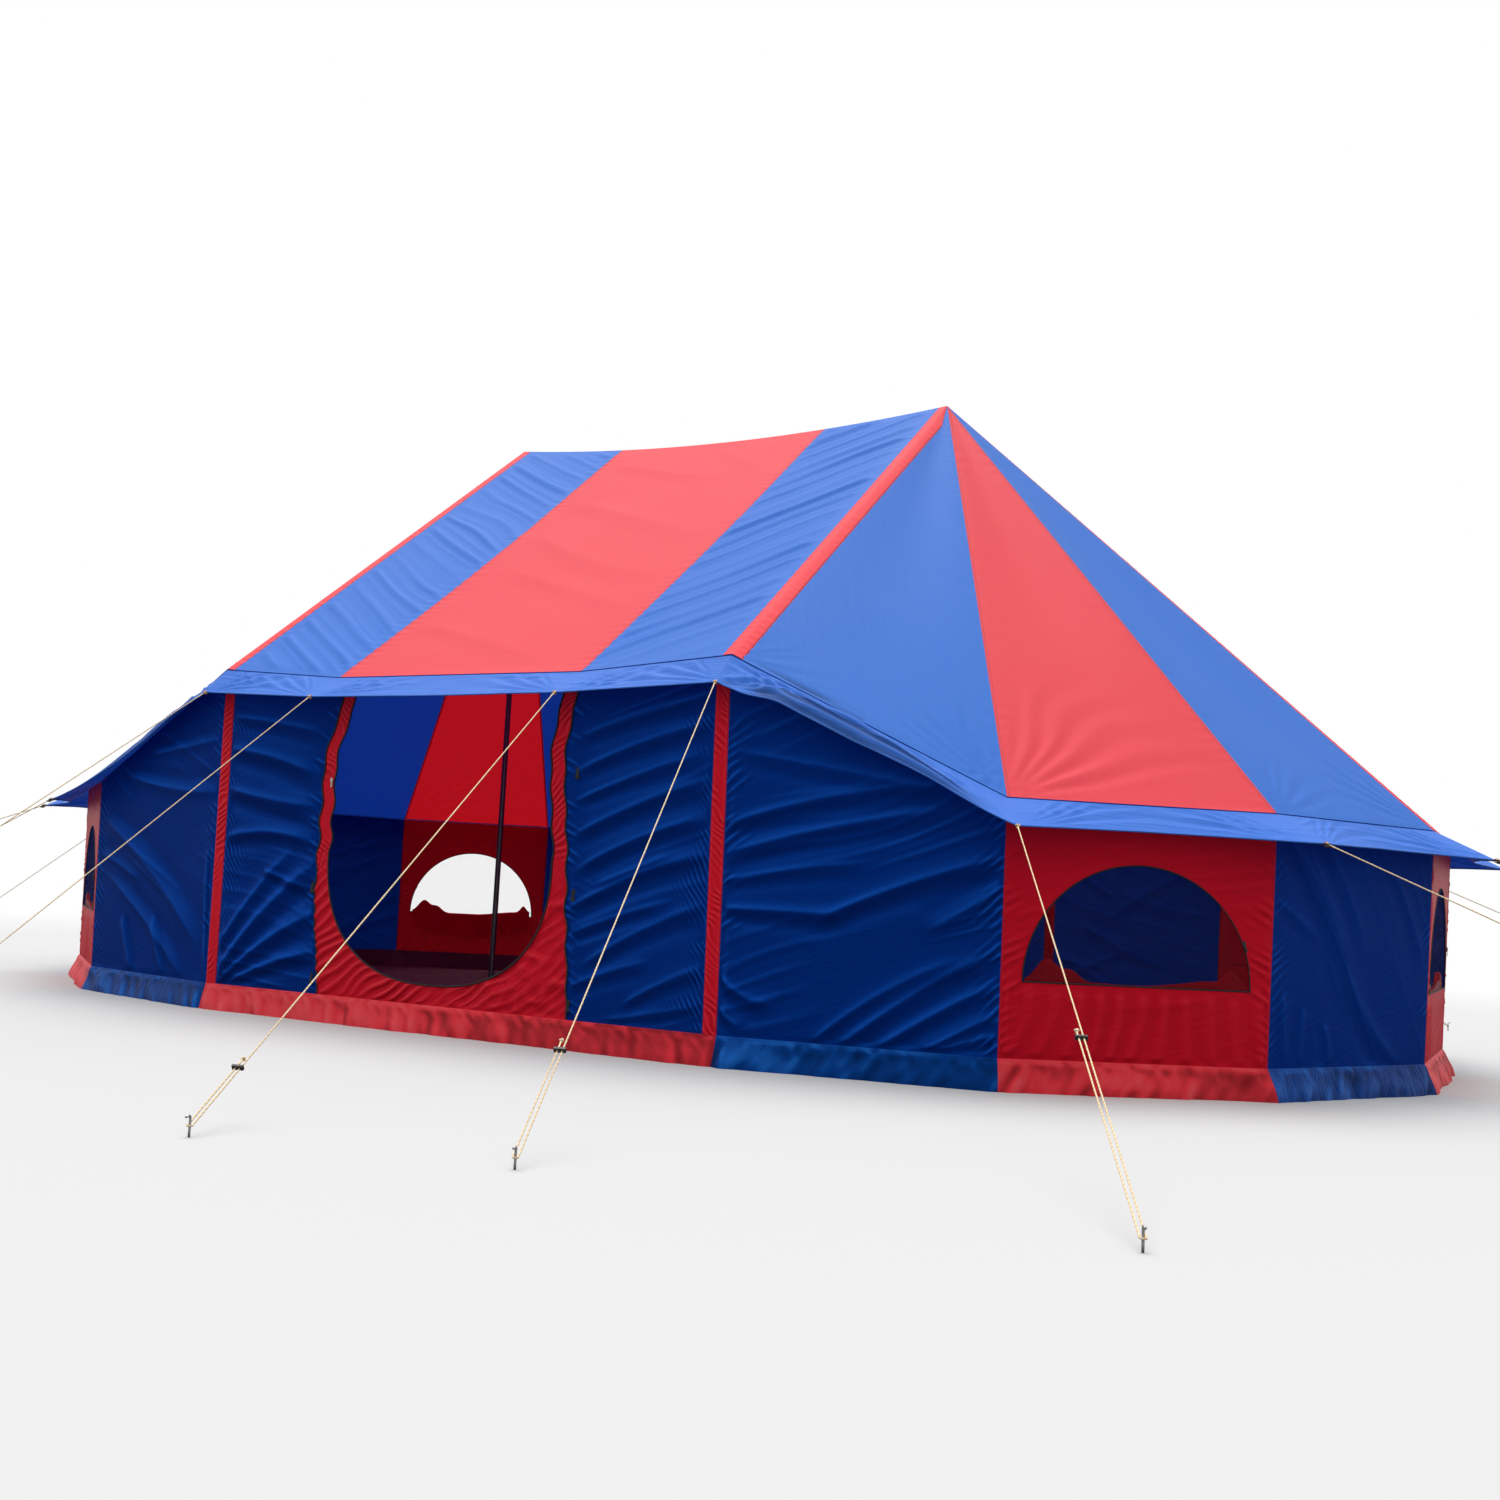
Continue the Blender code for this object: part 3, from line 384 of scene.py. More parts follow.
def clothMaterial(name):
    # a plain weave from the cloth's own UV in metres, crinkles and faded patches from object places;
    # tapes and seams have a row of stitches at both sides of their middle line
    colour, roughness, gloss, glow, glowColour = clothColours[name]
    graph = Graph(name)
    place, cloth = graph.place(), graph.clothPlace()
    u, v, _ = graph.split(cloth)
    warp = u.wave(clothLook["thread"])
    weft = v.wave(clothLook["thread"])
    patches = graph.noise(place, clothLook["patchSize"], 3.0)
    grain = graph.noise(place, clothLook["grainSize"], 2.0)
    pale = graph.mixColour(patches * clothLook["patchShare"], rgb(colour), rgb(colour, 1.35))
    shaded = graph.mixColour(grain * clothLook["grainShare"], pale, rgb(colour, 0.6))
    # the shade attribute is painted light: above 0 it mixes in painted shade, a darker copy of the colour
    shade = graph.node("ShaderNodeAttribute", {"attribute_name": "shade"}, output="Fac")
    paintedShade = graph.clamp(shade, 0.0, 1.0) * clothLook["paintedShadeShare"]
    shaded = graph.mixColour(paintedShade, shaded, rgb(colour, clothLook["paintedShadeLevel"]))
    # painted highlight: below 0 the shade attribute mixes in the paler colour
    if name in paintedHighlightColours:
        pale = graph.clamp(shade, 0.0, -1.0) * clothLook["paintedHighlightShare"]
        shaded = graph.mixColour(pale, shaded, rgb(paintedHighlightColours[name]))
    crinkle = graph.noise(place, clothLook["crinkleSize"], 4.0, 0.6)
    dents = graph.bump(crinkle, clothLook["crinkleDepth"], 0.35)
    weave = graph.bump(warp * weft, clothLook["weaveDepth"], 0.6, dents)
    if name in drawnCreases:
        angle, long, wide, depth = drawnCreases[name]
        drawn = graph.node("ShaderNodeMapping", {"vector_type": "TEXTURE"}, {
            "Vector": cloth, "Rotation": (0, 0, math.radians(angle)), "Scale": (long, wide, 1.0)})
        ridge = graph.clamp(abs(graph.noise(drawn, 1.0, 3.0, 0.55) - 0.5), 0.0, 0.22, 1.0, 0.0)
        weave = graph.bump(ridge, depth, 0.7, weave)
    if name in stitchRows:
        near = 1 - abs(abs(u) - stitchRows[name]) / clothLook["stitchWidth"]
        dash = v.wave(clothLook["stitch"])
        stitch = graph.clamp(near, 0.0, 0.4) * graph.clamp(dash, -0.5, 0.1)
        shaded = graph.mixColour(stitch * 0.75, shaded, (0.030, 0.012, 0.045, 1))
        weave = graph.bump(stitch, 0.0006, 0.6, weave)
    return graph.surface({
        "Base Color": shaded, "Roughness": roughness + 0.10 * patches, "Normal": weave,
        "Specular IOR Level": gloss, "Specular Tint": rgb(colour, 1.1 / max(colour)),
        "Sheen Weight": 0.02, "Sheen Roughness": 0.4, "Sheen Tint": rgb(colour, 1.3)},
        glow, rgb(glowColour) if glowColour else None)


def plasticMaterial(name, colour, roughness, grainDepth):
    # a fine grain, greyer where it is worn
    graph = Graph(name)
    place = graph.place()
    grain = graph.noise(place, 900.0, 2.0)
    wear = graph.noise(place, 60.0, 3.0)
    shaded = graph.mixColour(wear * 0.5, rgb(colour), rgb(colour, 1.9))
    return graph.surface({"Base Color": shaded, "Roughness": roughness + 0.2 * wear,
                          "Normal": graph.bump(grain, grainDepth, 0.4)})


def steelMaterial(name, colour, roughness):
    # drawn steel: fine lines round the tube and a few dull patches
    graph = Graph(name)
    place = graph.place()
    stretched = graph.node("ShaderNodeMapping", {}, {"Vector": place, "Scale": (40.0, 40.0, 900.0)})
    lines = graph.noise(stretched, 1.0, 2.0)
    dull = graph.noise(place, 14.0, 4.0)
    shaded = graph.mixColour(dull * 0.6, rgb(colour), rgb(colour, 0.55))
    return graph.surface({"Base Color": shaded, "Metallic": 0.9, "Roughness": roughness + 0.25 * dull,
                          "Normal": graph.bump(lines, 0.0002, 0.3)})


fine = {
    # spacing in metres of a rope's strands and of its orange thread, a zip's teeth, a net and a woven sheet
    "strand": 0.006, "tracer": 0.018, "tooth": 0.003, "net": 0.0035, "sheet": 0.005,
}


def ropeMaterial():
    # twisted strands: slanting waves in the rope's own UV, with an orange thread among cream ones
    graph = Graph("guyRope")
    u, v, _ = graph.split(graph.clothPlace())
    strand = (u * (2 * math.pi / fine["strand"]) + v * (6 * math.pi)).sine()
    tracer = (u * (2 * math.pi / fine["tracer"]) + v * (2 * math.pi)).sine()
    share = graph.clamp(tracer, 0.3, 1.0)
    yarn = graph.noise(graph.place(), 700.0, 3.0)
    shaded = graph.mixColour(share, (0.93, 0.82, 0.58, 1), (0.93, 0.50, 0.14, 1))
    shaded = graph.mixColour(yarn * 0.25, shaded, (0.62, 0.44, 0.22, 1))
    return graph.surface({"Base Color": shaded, "Roughness": 0.8,
                          "Normal": graph.bump(strand + 0.3 * yarn, 0.0006, 0.8)})


def zipMaterial():
    # a coil zip: even teeth along the cord's own length
    graph = Graph("zipBlack")
    u, _, _ = graph.split(graph.clothPlace())
    teeth = u.wave(fine["tooth"])
    worn = graph.noise(graph.place(), 80.0, 3.0)
    shaded = graph.mixColour(worn * 0.5, (0.006, 0.006, 0.008, 1), (0.030, 0.028, 0.030, 1))
    return graph.surface({"Base Color": shaded, "Roughness": 0.5, "Normal": graph.bump(teeth, 0.0006, 0.9)})


def netMaterial():
    # a fine mosquito net: dark threads and clear meshes, from the net's own UV in metres
    graph = Graph("windowNet")
    u, v, _ = graph.split(graph.clothPlace())
    across = u.wave(fine["net"])
    thread = graph.clamp(across.math("MAXIMUM", across, v.wave(fine["net"])), 0.84, 0.99)
    folds = graph.noise(graph.place(), 6.0, 3.0)
    shaded = graph.mixColour(folds, (0.012, 0.010, 0.012, 1), (0.035, 0.030, 0.034, 1))
    return graph.surface({"Base Color": shaded, "Roughness": 0.8, "Alpha": 0.02 + 0.5 * thread})


def groundsheetMaterial():
    # black woven sheet: flat tapes crossing, with dust and scuffs
    graph = Graph("groundsheetBlack")
    place = graph.place()
    u, v, _ = graph.split(graph.clothPlace())
    across = u.wave(fine["sheet"])
    along = v.wave(fine["sheet"])
    dust = graph.noise(place, 2.5, 5.0, 0.65)
    dusty = graph.clamp(dust, 0.45, 0.75)
    shaded = graph.mixColour(dusty, (0.150, 0.060, 0.078, 1), (0.220, 0.120, 0.136, 1))
    return graph.surface({"Base Color": shaded, "Roughness": 0.6 + 0.3 * dust, "Specular IOR Level": 0.2,
                          "Normal": graph.bump(across * along, 0.0004, 0.5)})


material = {name: clothMaterial(name) for name in clothColours}
material["rope"] = ropeMaterial()
material["zip"] = zipMaterial()
material["net"] = netMaterial()
material["sheet"] = groundsheetMaterial()
material["plastic"] = plasticMaterial("blackPlastic", (0.012, 0.012, 0.014), 0.35, 0.0002)
material["webbing"] = plasticMaterial("blackWebbing", (0.010, 0.010, 0.012), 0.65, 0.0006)
material["pole"] = steelMaterial("poleSteel", (0.16, 0.16, 0.17), 0.30)
material["peg"] = steelMaterial("pegSteel", (0.55, 0.55, 0.56), 0.25)
material["pull"] = steelMaterial("pullMetal", (0.50, 0.48, 0.45), 0.25)
material["loop"] = plasticMaterial("orangeLoop", (0.62, 0.20, 0.05), 0.75, 0.0006)
print("materials made:", len(material))


# Camera, light and floor

view = {
    "place": (4.540, -8.162, 0.722), "yaw": 0.5095, "pitch": 0.1054, "roll": 0.0524,
    "focalPixels": 1571.47, "imagePixels": 1500, "centrePixels": (702.52, 721.86), "sensor": 36.0,
}


def makeCamera():
    yaw, pitch, roll = view["yaw"], view["pitch"], view["roll"]
    forward = np.array([-math.sin(yaw) * math.cos(pitch), math.cos(yaw) * math.cos(pitch), math.sin(pitch)])
    level = np.array([math.cos(yaw), math.sin(yaw), 0])
    up = np.cross(level, forward)
    right = level * math.cos(roll) + up * math.sin(roll)
    up = up * math.cos(roll) - level * math.sin(roll)
    lens = bpy.data.cameras.new("camera")
    lens.sensor_width = view["sensor"]
    lens.lens = view["sensor"] * view["focalPixels"] / view["imagePixels"]
    lens.shift_x = (view["imagePixels"] / 2 - view["centrePixels"][0]) / view["imagePixels"]
    lens.shift_y = (view["centrePixels"][1] - view["imagePixels"] / 2) / view["imagePixels"]
    lens.clip_start, lens.clip_end = 0.05, 400
    camera = bpy.data.objects.new("camera", lens)
    bpy.context.scene.collection.objects.link(camera)
    matrix = Matrix.Identity(4)
    for column, axis in enumerate((right, up, -forward)):
        matrix.col[column] = (*axis, 0)
    matrix.col[3] = (*view["place"], 1)
    camera.matrix_world = matrix
    bpy.context.scene.camera = camera


studio = {
    "horizonStrength": 0.42, "zenithStrength": 0.95, "keyStrength": 2.5, "keyAngle": 50.0,
    "keyFrom": (-0.16, 0.15, 0.97), "floorColour": 0.50, "floorBounce": 0.16, "floorGlow": 0.12,
    "floorReach": 90.0, "fadeStart": 8.0, "fadeEnd": 13.0,
}


def makeLight():
    lamp = bpy.data.lights.new("skyLamp", "SUN")
    lamp.energy = studio["keyStrength"]
    lamp.angle = math.radians(studio["keyAngle"])
    item = bpy.data.objects.new("skyLamp", lamp)
    bpy.context.scene.collection.objects.link(item)
    backward = unit(np.array(studio["keyFrom"]))
    sideways = unit(np.cross([0, 1, 0], backward))
    matrix = Matrix.Identity(4)
    for column, axis in enumerate((sideways, np.cross(backward, sideways), backward)):
        matrix.col[column] = (*axis, 0)
    item.matrix_world = matrix
    # the dome is brighter overhead; the camera and mirrors see it white
    world = bpy.data.worlds.new("studio")
    bpy.context.scene.world = world
    graph = Graph("studio", world)
    camera, glossy, clear = [graph.node("ShaderNodeLightPath", output=name)
                             for name in ("Is Camera Ray", "Is Glossy Ray", "Is Transmission Ray")]
    seen = graph.clamp(camera + glossy + clear, 0.0, 1.0)
    _, _, height = graph.split(graph.node("ShaderNodeTexCoord", output="Generated"))
    dome = graph.clamp(height, 0.0, 1.0, studio["horizonStrength"], studio["zenithStrength"])
    strength = dome + seen * (1 - dome)
    back = graph.node("ShaderNodeBackground", {}, {"Color": (1, 1, 1, 1), "Strength": strength})
    graph.node("ShaderNodeOutputWorld", {}, {"Surface": back})


def makeFloor():
    # a pale floor that keeps the tent's shadow near it and goes over into the white backdrop further out
    reach = studio["floorReach"]
    line = np.concatenate([[-reach], np.linspace(-12, 12, 25), [reach]])
    x, y = np.meshgrid(line, line)
    grid = np.stack([x, y, np.zeros_like(x)], -1)
    mesh = meshOfGrids("floor", [grid], [grid[..., :2]], outside=np.array([0, 0, -50]))
    graph = Graph("floorPaper")
    place = graph.place()
    away = graph.node("ShaderNodeVectorMath", {"operation": "LENGTH"}, {0: place}, "Value")
    far = graph.clamp(away, studio["fadeStart"], studio["fadeEnd"])
    ray = graph.node("ShaderNodeLightPath", output="Is Camera Ray")
    grain = graph.noise(place, 30.0, 3.0)
    level, bounce = studio["floorColour"], studio["floorBounce"]
    paper = graph.mixColour(grain * 0.3, rgb([level] * 3), rgb([level] * 3, 0.98))
    paper = graph.mixColour(ray, rgb([bounce] * 3), paper)
    matt = graph.node("ShaderNodeBsdfDiffuse", {}, {"Color": paper})
    glow = graph.node("ShaderNodeEmission", {}, {"Strength": ray * studio["floorGlow"]})
    near = graph.node("ShaderNodeAddShader", {}, {0: matt, 1: glow})
    white = graph.node("ShaderNodeEmission", {}, {"Strength": 0.6 + 0.4 * ray})
    shader = graph.node("ShaderNodeMixShader", {}, {0: far, 1: near, 2: white})
    graph.node("ShaderNodeOutputMaterial", {}, {"Surface": shader})
    mesh.materials.append(graph.material)
    floor = bpy.data.objects.new("floor", mesh)
    floor.location.z = -0.0005
    bpy.context.scene.collection.objects.link(floor)


makeCamera()
makeLight()
makeFloor()
bpy.context.scene.view_settings.view_transform = "Standard"
print("camera, light and floor made")


# Plan and heights of the tent

border = {
    "cornerWidth": 0.124, "cornerDrop": 0.13, "stripeWidth": 0.184, "stripeDrop": 0.115, "frontWidth": 0.15,
    "endWidth": 0.25, "endDrop": 0.12, "panelWidth": 0.13, "panelDrop": 0.11,
}


def endPlan(turn):
    # the eave's plan from the pole: straight between the corners of a half ellipse
    return np.interp(turn, cornerTurns, cornerX), np.interp(turn, cornerTurns, cornerY)


def endEave(turn):
    return np.interp(turn, cornerTurns, cornerEaves)


def sideEave(x):
    # straight from each tape down to the stripe joint, then level
    heights = [tent["sideEave"] - tent["stripeSag"], tent["sideEave"]]
    return np.interp(np.abs(x), [tent["stripeHalf"], halfRidge], heights)


def atCorners(turn, outermost, inner):
    # one value at the two corners by the tapes, another at those between, and straight from each to the next
    return np.interp(turn, cornerTurns, [outermost, *[inner] * (tent["panels"] - 1), outermost])


def endBorder(turn):
    # width and drop of the border: widest at each corner, narrowing with the square of the way to mid panel
    widths = atCorners(turn, border["cornerWidth"], border["endWidth"])
    drops = atCorners(turn, border["cornerDrop"], border["endDrop"])
    pull = np.abs(2 * (turn % 1) - 1) ** 2
    width = np.minimum(widths, border["panelWidth"]) * (1 - pull) + widths * pull
    return width, np.minimum(drops, border["panelDrop"]) * (1 - pull) + drops * pull


def sideBorder(x):
    stations = [0, tent["stripeHalf"], halfRidge]
    widths = [border["frontWidth"], border["stripeWidth"], border["cornerWidth"]]
    drops = [border["stripeDrop"], border["stripeDrop"], border["cornerDrop"]]
    return np.interp(np.abs(x), stations, widths), np.interp(np.abs(x), stations, drops)


def roofEndBase(side, turn, row):
    # straight from the peak (row 0) to the eave (row 1) with a dish between the seams, then over the border
    dx, dy = endPlan(turn)
    share, out = np.clip(row, 0, 1), np.clip(row - 1, 0, 1)
    dish = tent["dish"] * np.sin(np.pi * (turn % 1)) ** 2 * np.sin(np.pi * share)
    width, drop = endBorder(turn)
    reach = np.hypot(dx, dy)
    x = halfRidge + dx * share + out * width * dx / reach
    y = dy * share + out * width * dy / reach
    z = tent["peak"] + share * (endEave(turn) - tent["peak"]) - dish - out * drop
    return np.stack(np.broadcast_arrays(side * x, y, z), -1)


def roofMiddleBase(x, row):
    # from the sagging ridge (row 0) to the eave (row 1 behind, -1 in front), then over the border
    share, out = np.clip(np.abs(row), 0, 1), np.clip(np.abs(row) - 1, 0, 1)
    inward = 1 - (x / halfRidge) ** 2
    ridge = tent["peak"] - tent["ridgeSag"] * inward
    width, drop = sideBorder(x)
    z = ridge + share * (sideEave(x) - ridge) - tent["dish"] * np.sin(np.pi * share) * inward - out * drop
    return np.stack(np.broadcast_arrays(x, np.sign(row) * (tent["halfWidth"] * share + out * width), z), -1)


# Guy ropes: where each meets the ground, and its runner's share of the way from the hem to the peg

ropes = {
    "radius": 0.0025, "strandSpacing": 0.014, "knotRadius": 0.009, "knotGap": 0.0008, "tailLength": 0.04,
    "knotStrand": 0.0026, "knotShare": 0.85, "tailKnotShare": 0.6, "heightAtPeg": 0.03,
    "pegRadius": 0.0035, "pegHeight": 0.06, "pegArm": 0.022, "pegBend": 105, "pegCurl": 0.42, "pegTip": 0.45,
    "rightPegs": [(2.22, -4.85, 0.849), (3.73, -4.67, 0.651), (5.90, -2.50, 0.78), (5.95, -0.90, 0.75),
                  (5.95, 0.95, 0.75), (6.00, 2.80, 0.75), (3.75, 4.25, 0.75), (2.10, 4.35, 0.78)],
    "leftPegs": [(-1.79, -4.60, 0.80), (-3.67, -3.50, 0.72), (-5.21, -3.50, 0.75), (-5.60, -1.00, 0.75),
                 (-5.60, 1.00, 0.75), (-5.30, 2.80, 0.75), (-3.70, 4.20, 0.75), (-2.10, 4.35, 0.78)],
    "frontPegs": {"left": (-0.74, -4.60, 0.85), "right": (1.34, -5.09, 0.913)},
    "backPegs": {"left": (-0.85, 4.45, 0.78), "right": (0.85, 4.45, 0.78)},
}


def hemPoints():
    found = []
    for name, side in ends.items():
        for corner, peg in enumerate(ropes[name + "Pegs"]):
            point = roofEndBase(side, np.array(float(corner)), np.array(2.0)) + [side * tent["gap"] / 2, 0, 0]
            outward = unit(np.array([side * max(cornerX[corner], 0), cornerY[corner], 0]))
            found.append((f"{name}_{corner + 1}", point, outward, peg))
    for place, row, pegs in (("front", -2.0, ropes["frontPegs"]), ("back", 2.0, ropes["backPegs"])):
        for name, side in (("left", -1), ("right", 1)):
            point = roofMiddleBase(np.array(side * tent["stripeHalf"]), np.array(row))
            found.append((f"{place}_{name}", point, np.array([0, np.sign(row), 0]), pegs[name]))
    return found


def ropeFrame(point, outward, peg):
    # the knot just outside the hem, the foot at the peg, and the directions along, aside and away
    knot = point - [0, 0, roofDrop / 2] + outward * (ropes["knotRadius"] + ropes["knotGap"])
    foot = np.array([peg[0], peg[1], ropes["heightAtPeg"]])
    away = unit(np.array([foot[0] - knot[0], foot[1] - knot[1], 0]))
    aside = np.array([-away[1], away[0], 0])
    return knot, foot, unit(foot + aside * ropes["strandSpacing"] / 2 - knot), aside, away


def ropeRoute(point, outward, peg):
    # straight from the knot to the peg, half a turn round it, and straight back to the tail behind the runner
    knot, foot, along, aside, away = ropeFrame(point, outward, peg)
    half = ropes["strandSpacing"] / 2
    end = foot + aside * half
    runner = knot + (end - knot) * peg[2]
    turn = np.linspace(0, np.pi, 9)[:, None]
    bend = foot + half * (np.cos(turn) * aside + np.sin(turn) * away)
    tail = runner - aside * 2 * half - along * ropes["tailLength"]
    steps = max(int(np.linalg.norm(end - knot) / 0.06), 4)
    standing = knot + (bend[0] - knot) * np.linspace(0, 1, steps)[:-1, None]
    back = bend[-1] + (tail - bend[-1]) * np.linspace(0, 1, max(steps // 4, 4))[1:, None]
    return np.concatenate([standing, bend, back]), knot, tail, along


def knotPath(centre, along, size):
    # a trefoil knot: x = sin t + 2 sin 2t, y = cos t - 2 cos 2t, z = -sin 3t, drawn to the knot's size
    t = np.linspace(0, 2 * np.pi, 37)
    across = unit(np.cross(along, [0, 0, 1]))
    over = np.cross(across, along)
    x, y = (np.sin(t) + 2 * np.sin(2 * t)) / 3, (np.cos(t) - 2 * np.cos(2 * t)) / 3
    z = -np.sin(3 * t) * 0.5
    return centre + size * (x[:, None] * across + y[:, None] * over + z[:, None] * along)


def pegPath(peg, away):
    # a straight stem with its top bent over, away from the tent
    stem = np.array([peg[0], peg[1], 0])
    height = ropes["pegHeight"] - ropes["pegRadius"]
    bend = np.linspace(0, np.radians(ropes["pegBend"]), 9)[:, None]
    radius = ropes["pegArm"] * ropes["pegCurl"]
    stalk = np.linspace(0, height - radius, 4)[:-1, None] * np.array([0, 0, 1])
    curve = [0, 0, height - radius] + radius * ((1 - np.cos(bend)) * away + np.sin(bend) * [0, 0, 1])
    tip = curve[-1] + unit(curve[-1] - curve[-2]) * ropes["pegArm"] * ropes["pegTip"]
    return stem + np.concatenate([stalk, curve, [tip]])


def makeRopes():
    knots, pegs = [], []
    for name, point, outward, peg in hemPoints():
        route, knot, tail, along = ropeRoute(point, outward, peg)
        rope = tubes("guy_line_" + name, [route], ropes["radius"], 8, "rope", "guy_rope")
        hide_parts("guy_rope_" + name)
        knots.append(knotPath(knot, along, ropes["knotRadius"] * ropes["knotShare"]))
        knots.append(knotPath(tail, along, ropes["knotRadius"] * ropes["tailKnotShare"]))
        pegs.append(pegPath(peg, unit(np.array([peg[0] - point[0], peg[1] - point[1], 0]))))
    tubes("rope_knots", knots, ropes["knotStrand"], 7, "rope", "guy_rope", upward=(0.31, 0.17, 0.93))
    tubes("pegs", pegs, ropes["pegRadius"], 10, "peg", "pole_steel", upward=(0.7, 0.7, 0.1))


makeRopes()
print("ropes made")


# Roof cloth

roofFolds = {
    "seamPucker": 0.0020, "puckerLength": 0.055, "puckerReach": 0.07, "softHeight": 0.006,
    "streakHeight": 0.021, "streakSpacing": 0.165, "streakAcross": 0.829, "streakUp": 0.560,
    "calm": [
        (-0.62, 2.2, 0.55, 1.55, 0.05, 0.07, 0.1, 0.006), (-0.6, 1.75, 0.6, 1.05, -0.04, 0.06, 0.1, 0.006),
        (-0.45, 1.25, 0.66, 0.62, 0.03, 0.06, 0.09, 0.005), (-0.66, 0.62, 0.3, 0.2, 0.02, 0.05, 0.08, 0.005),
        (-0.64, 2.75, 0.2, 2.45, 0.02, 0.05, 0.08, 0.005), (0.05, 2.9, 0.66, 2.3, 0.02, 0.05, 0.08, 0.004),
    ],
    "eaveCreases": [(0.07, 0.030, 0.46, 0.036, 0.006, 0.007, 0.008, 0.008),
                    (0.22, 0.016, 0.72, 0.02, 0.003, 0.006, 0.008, 0.006),
                    (0.4, 0.05, 0.78, 0.036, 0.004, 0.007, 0.01, 0.005)],
}
roofFans = {
    # corner of the panel (-1 left, 1 right), first and last angle, number of rays, height and reach
    ("right", 0): [(1, 8, 78, 7, 0.009, 0.60), (-1, 14, 66, 4, 0.004, 0.50)],
    ("right", 1): [(-1, 9, 77, 5, 0.007, 1.10)],
    ("right", 2): [(-1, 8, 70, 5, 0.006, 0.70), (1, 10, 66, 4, 0.005, 0.60)],
    "other": [(-1, 10, 76, 5, 0.008, 0.95), (1, 8, 60, 4, 0.005, 0.60)],
}


def panelChord(panel):
    return float(math.hypot(cornerX[panel + 1] - cornerX[panel], cornerY[panel + 1] - cornerY[panel]))


def panelOf(turn):
    # the panel's number, the share of the way across it and its width at the eave
    panel = np.minimum(np.floor(turn), tent["panels"] - 1).astype(int)
    return panel, turn - panel, np.array([panelChord(k) for k in range(tent["panels"])])[panel]


def pucker(aside, along, seed):
    # short ripples square to a seam: a sine along it, gone a hand's breadth away from it
    beat = 1 + 0.4 * softNoise(along * 3, along * 0 + 0.5, seed)
    ripple = np.sin(2 * np.pi * along / roofFolds["puckerLength"] * beat)
    return roofFolds["seamPucker"] * ripple * np.exp(-(aside / roofFolds["puckerReach"]) ** 2)


def eaveCrease(across, up, chord):
    # creases that run along the eave from the tape's corner, on the first and the last panel; makeRoof paints
    # shade along them
    fromTape = np.where(across < 0.5, across, 1 - across) * chord
    nearest = np.where(across < 0.5, across, 1) * chord
    return foldLines(np.minimum(nearest, fromTape + 10), up, roofFolds["eaveCreases"])


def roofEndFold(side, turn, row):
    # soft unevenness, puckers along both seams, and folds fanning up from the two lower corners
    panel, across, chord = panelOf(turn)
    share = np.clip(row, 0, 1)
    length = np.hypot(tent["endReach"], tent["peak"] - tent["endEave"])
    u, v = (across - 0.5) * chord * share, (1 - share) * length
    seed = panel.ravel()[0] * 7 + (3 if side > 0 else 50)
    edge = np.minimum(across, 1 - across) * chord * share
    fold = roofFolds["softHeight"] * softNoise(u * 1.6 + seed, v * 1.1, seed)
    fold = fold * smooth(edge / 0.12)
    fold = fold + pucker(edge, v, seed + 1) * smooth(edge / 0.02)
    fans = np.zeros_like(fold)
    known = roofFans.get(("right" if side > 0 else "left", int(panel.ravel()[0])), roofFans["other"])
    for corner, first, last, count, height, reach in known:
        fans = fans + fanFolds(chord / 2 - corner * u, v, (0, 0), first, last, count, height, reach, seed + 2)
    fold = fold + fans * smooth(edge / 0.06)
    steep = (panel == 0) | (panel == tent["panels"] - 1)
    fold = fold - np.where(steep, eaveCrease(across, v, chord), 0) * smooth(edge / 0.04)
    return fold * smooth(share / 0.12) * smooth((1 - share) / 0.008)


def streaks(x, up, seed):
    # long slanting wrinkles: narrow ridges square to the slant, each one uneven along its length
    across = roofFolds["streakAcross"] * up - roofFolds["streakUp"] * x
    along = roofFolds["streakUp"] * up + roofFolds["streakAcross"] * x
    phase = across / roofFolds["streakSpacing"] + 0.22 * softNoise(along * 2.2, across * 3, seed)
    wave = 0.5 + 0.5 * np.sin(2 * np.pi * phase)
    uneven = 0.65 + 0.45 * softNoise(along * 1.7, phase, seed + 1)
    fine = 0.5 + 0.5 * np.sin(2 * np.pi * (phase * 2.3 + 0.3))
    return roofFolds["streakHeight"] * (wave ** 5 + 0.30 * fine ** 5) * uneven


def roofMiddleFold(x, row):
    # streaks beside the right tape in front (mirrored behind and on the left), softer ones in the red stripe
    share = np.clip(np.abs(row), 0, 1)
    slope = math.hypot(tent["halfWidth"], tent["peak"] - tent["sideEave"])
    up = (1 - share) * slope
    reach = np.abs(x)
    mirrored = np.where(row < 0, x, -x)
    outer = fade(reach, tent["stripeHalf"] - 0.02, halfRidge - 0.050, 0.09)
    inner = fade(reach, -1.0, tent["stripeHalf"], 0.25)
    right = streaks(mirrored, up, 11) * np.where(mirrored > 0, 1.0, 0.0)
    left = streaks(-mirrored, up, 23) * np.where(mirrored > 0, 0.0, 0.7)
    fold = (right + left) * outer + foldLines(mirrored, up, roofFolds["calm"]) * inner
    soft = softNoise(mirrored * 1.7 + 5, up * 1.1, 31) * smooth((halfRidge - reach) / 0.1)
    fold = fold + roofFolds["softHeight"] * soft
    seams = pucker(reach - tent["stripeHalf"], up, 5) + pucker(reach - halfRidge, up, 6)
    fold = fold + seams * smooth((halfRidge - reach) / 0.02)
    return fold * smooth((1 - share) / 0.03) * smooth(share / 0.04)


def roofEndPoint(side, turn, row):
    place = roofEndBase(side, turn, row)
    place[..., 2] += roofEndFold(side, turn, row)
    return place


def roofMiddlePoint(x, row):
    place = roofMiddleBase(x, row)
    place[..., 2] += roofMiddleFold(x, row)
    return place


def isRedPanel(panel):
    return panel % 2 == 1


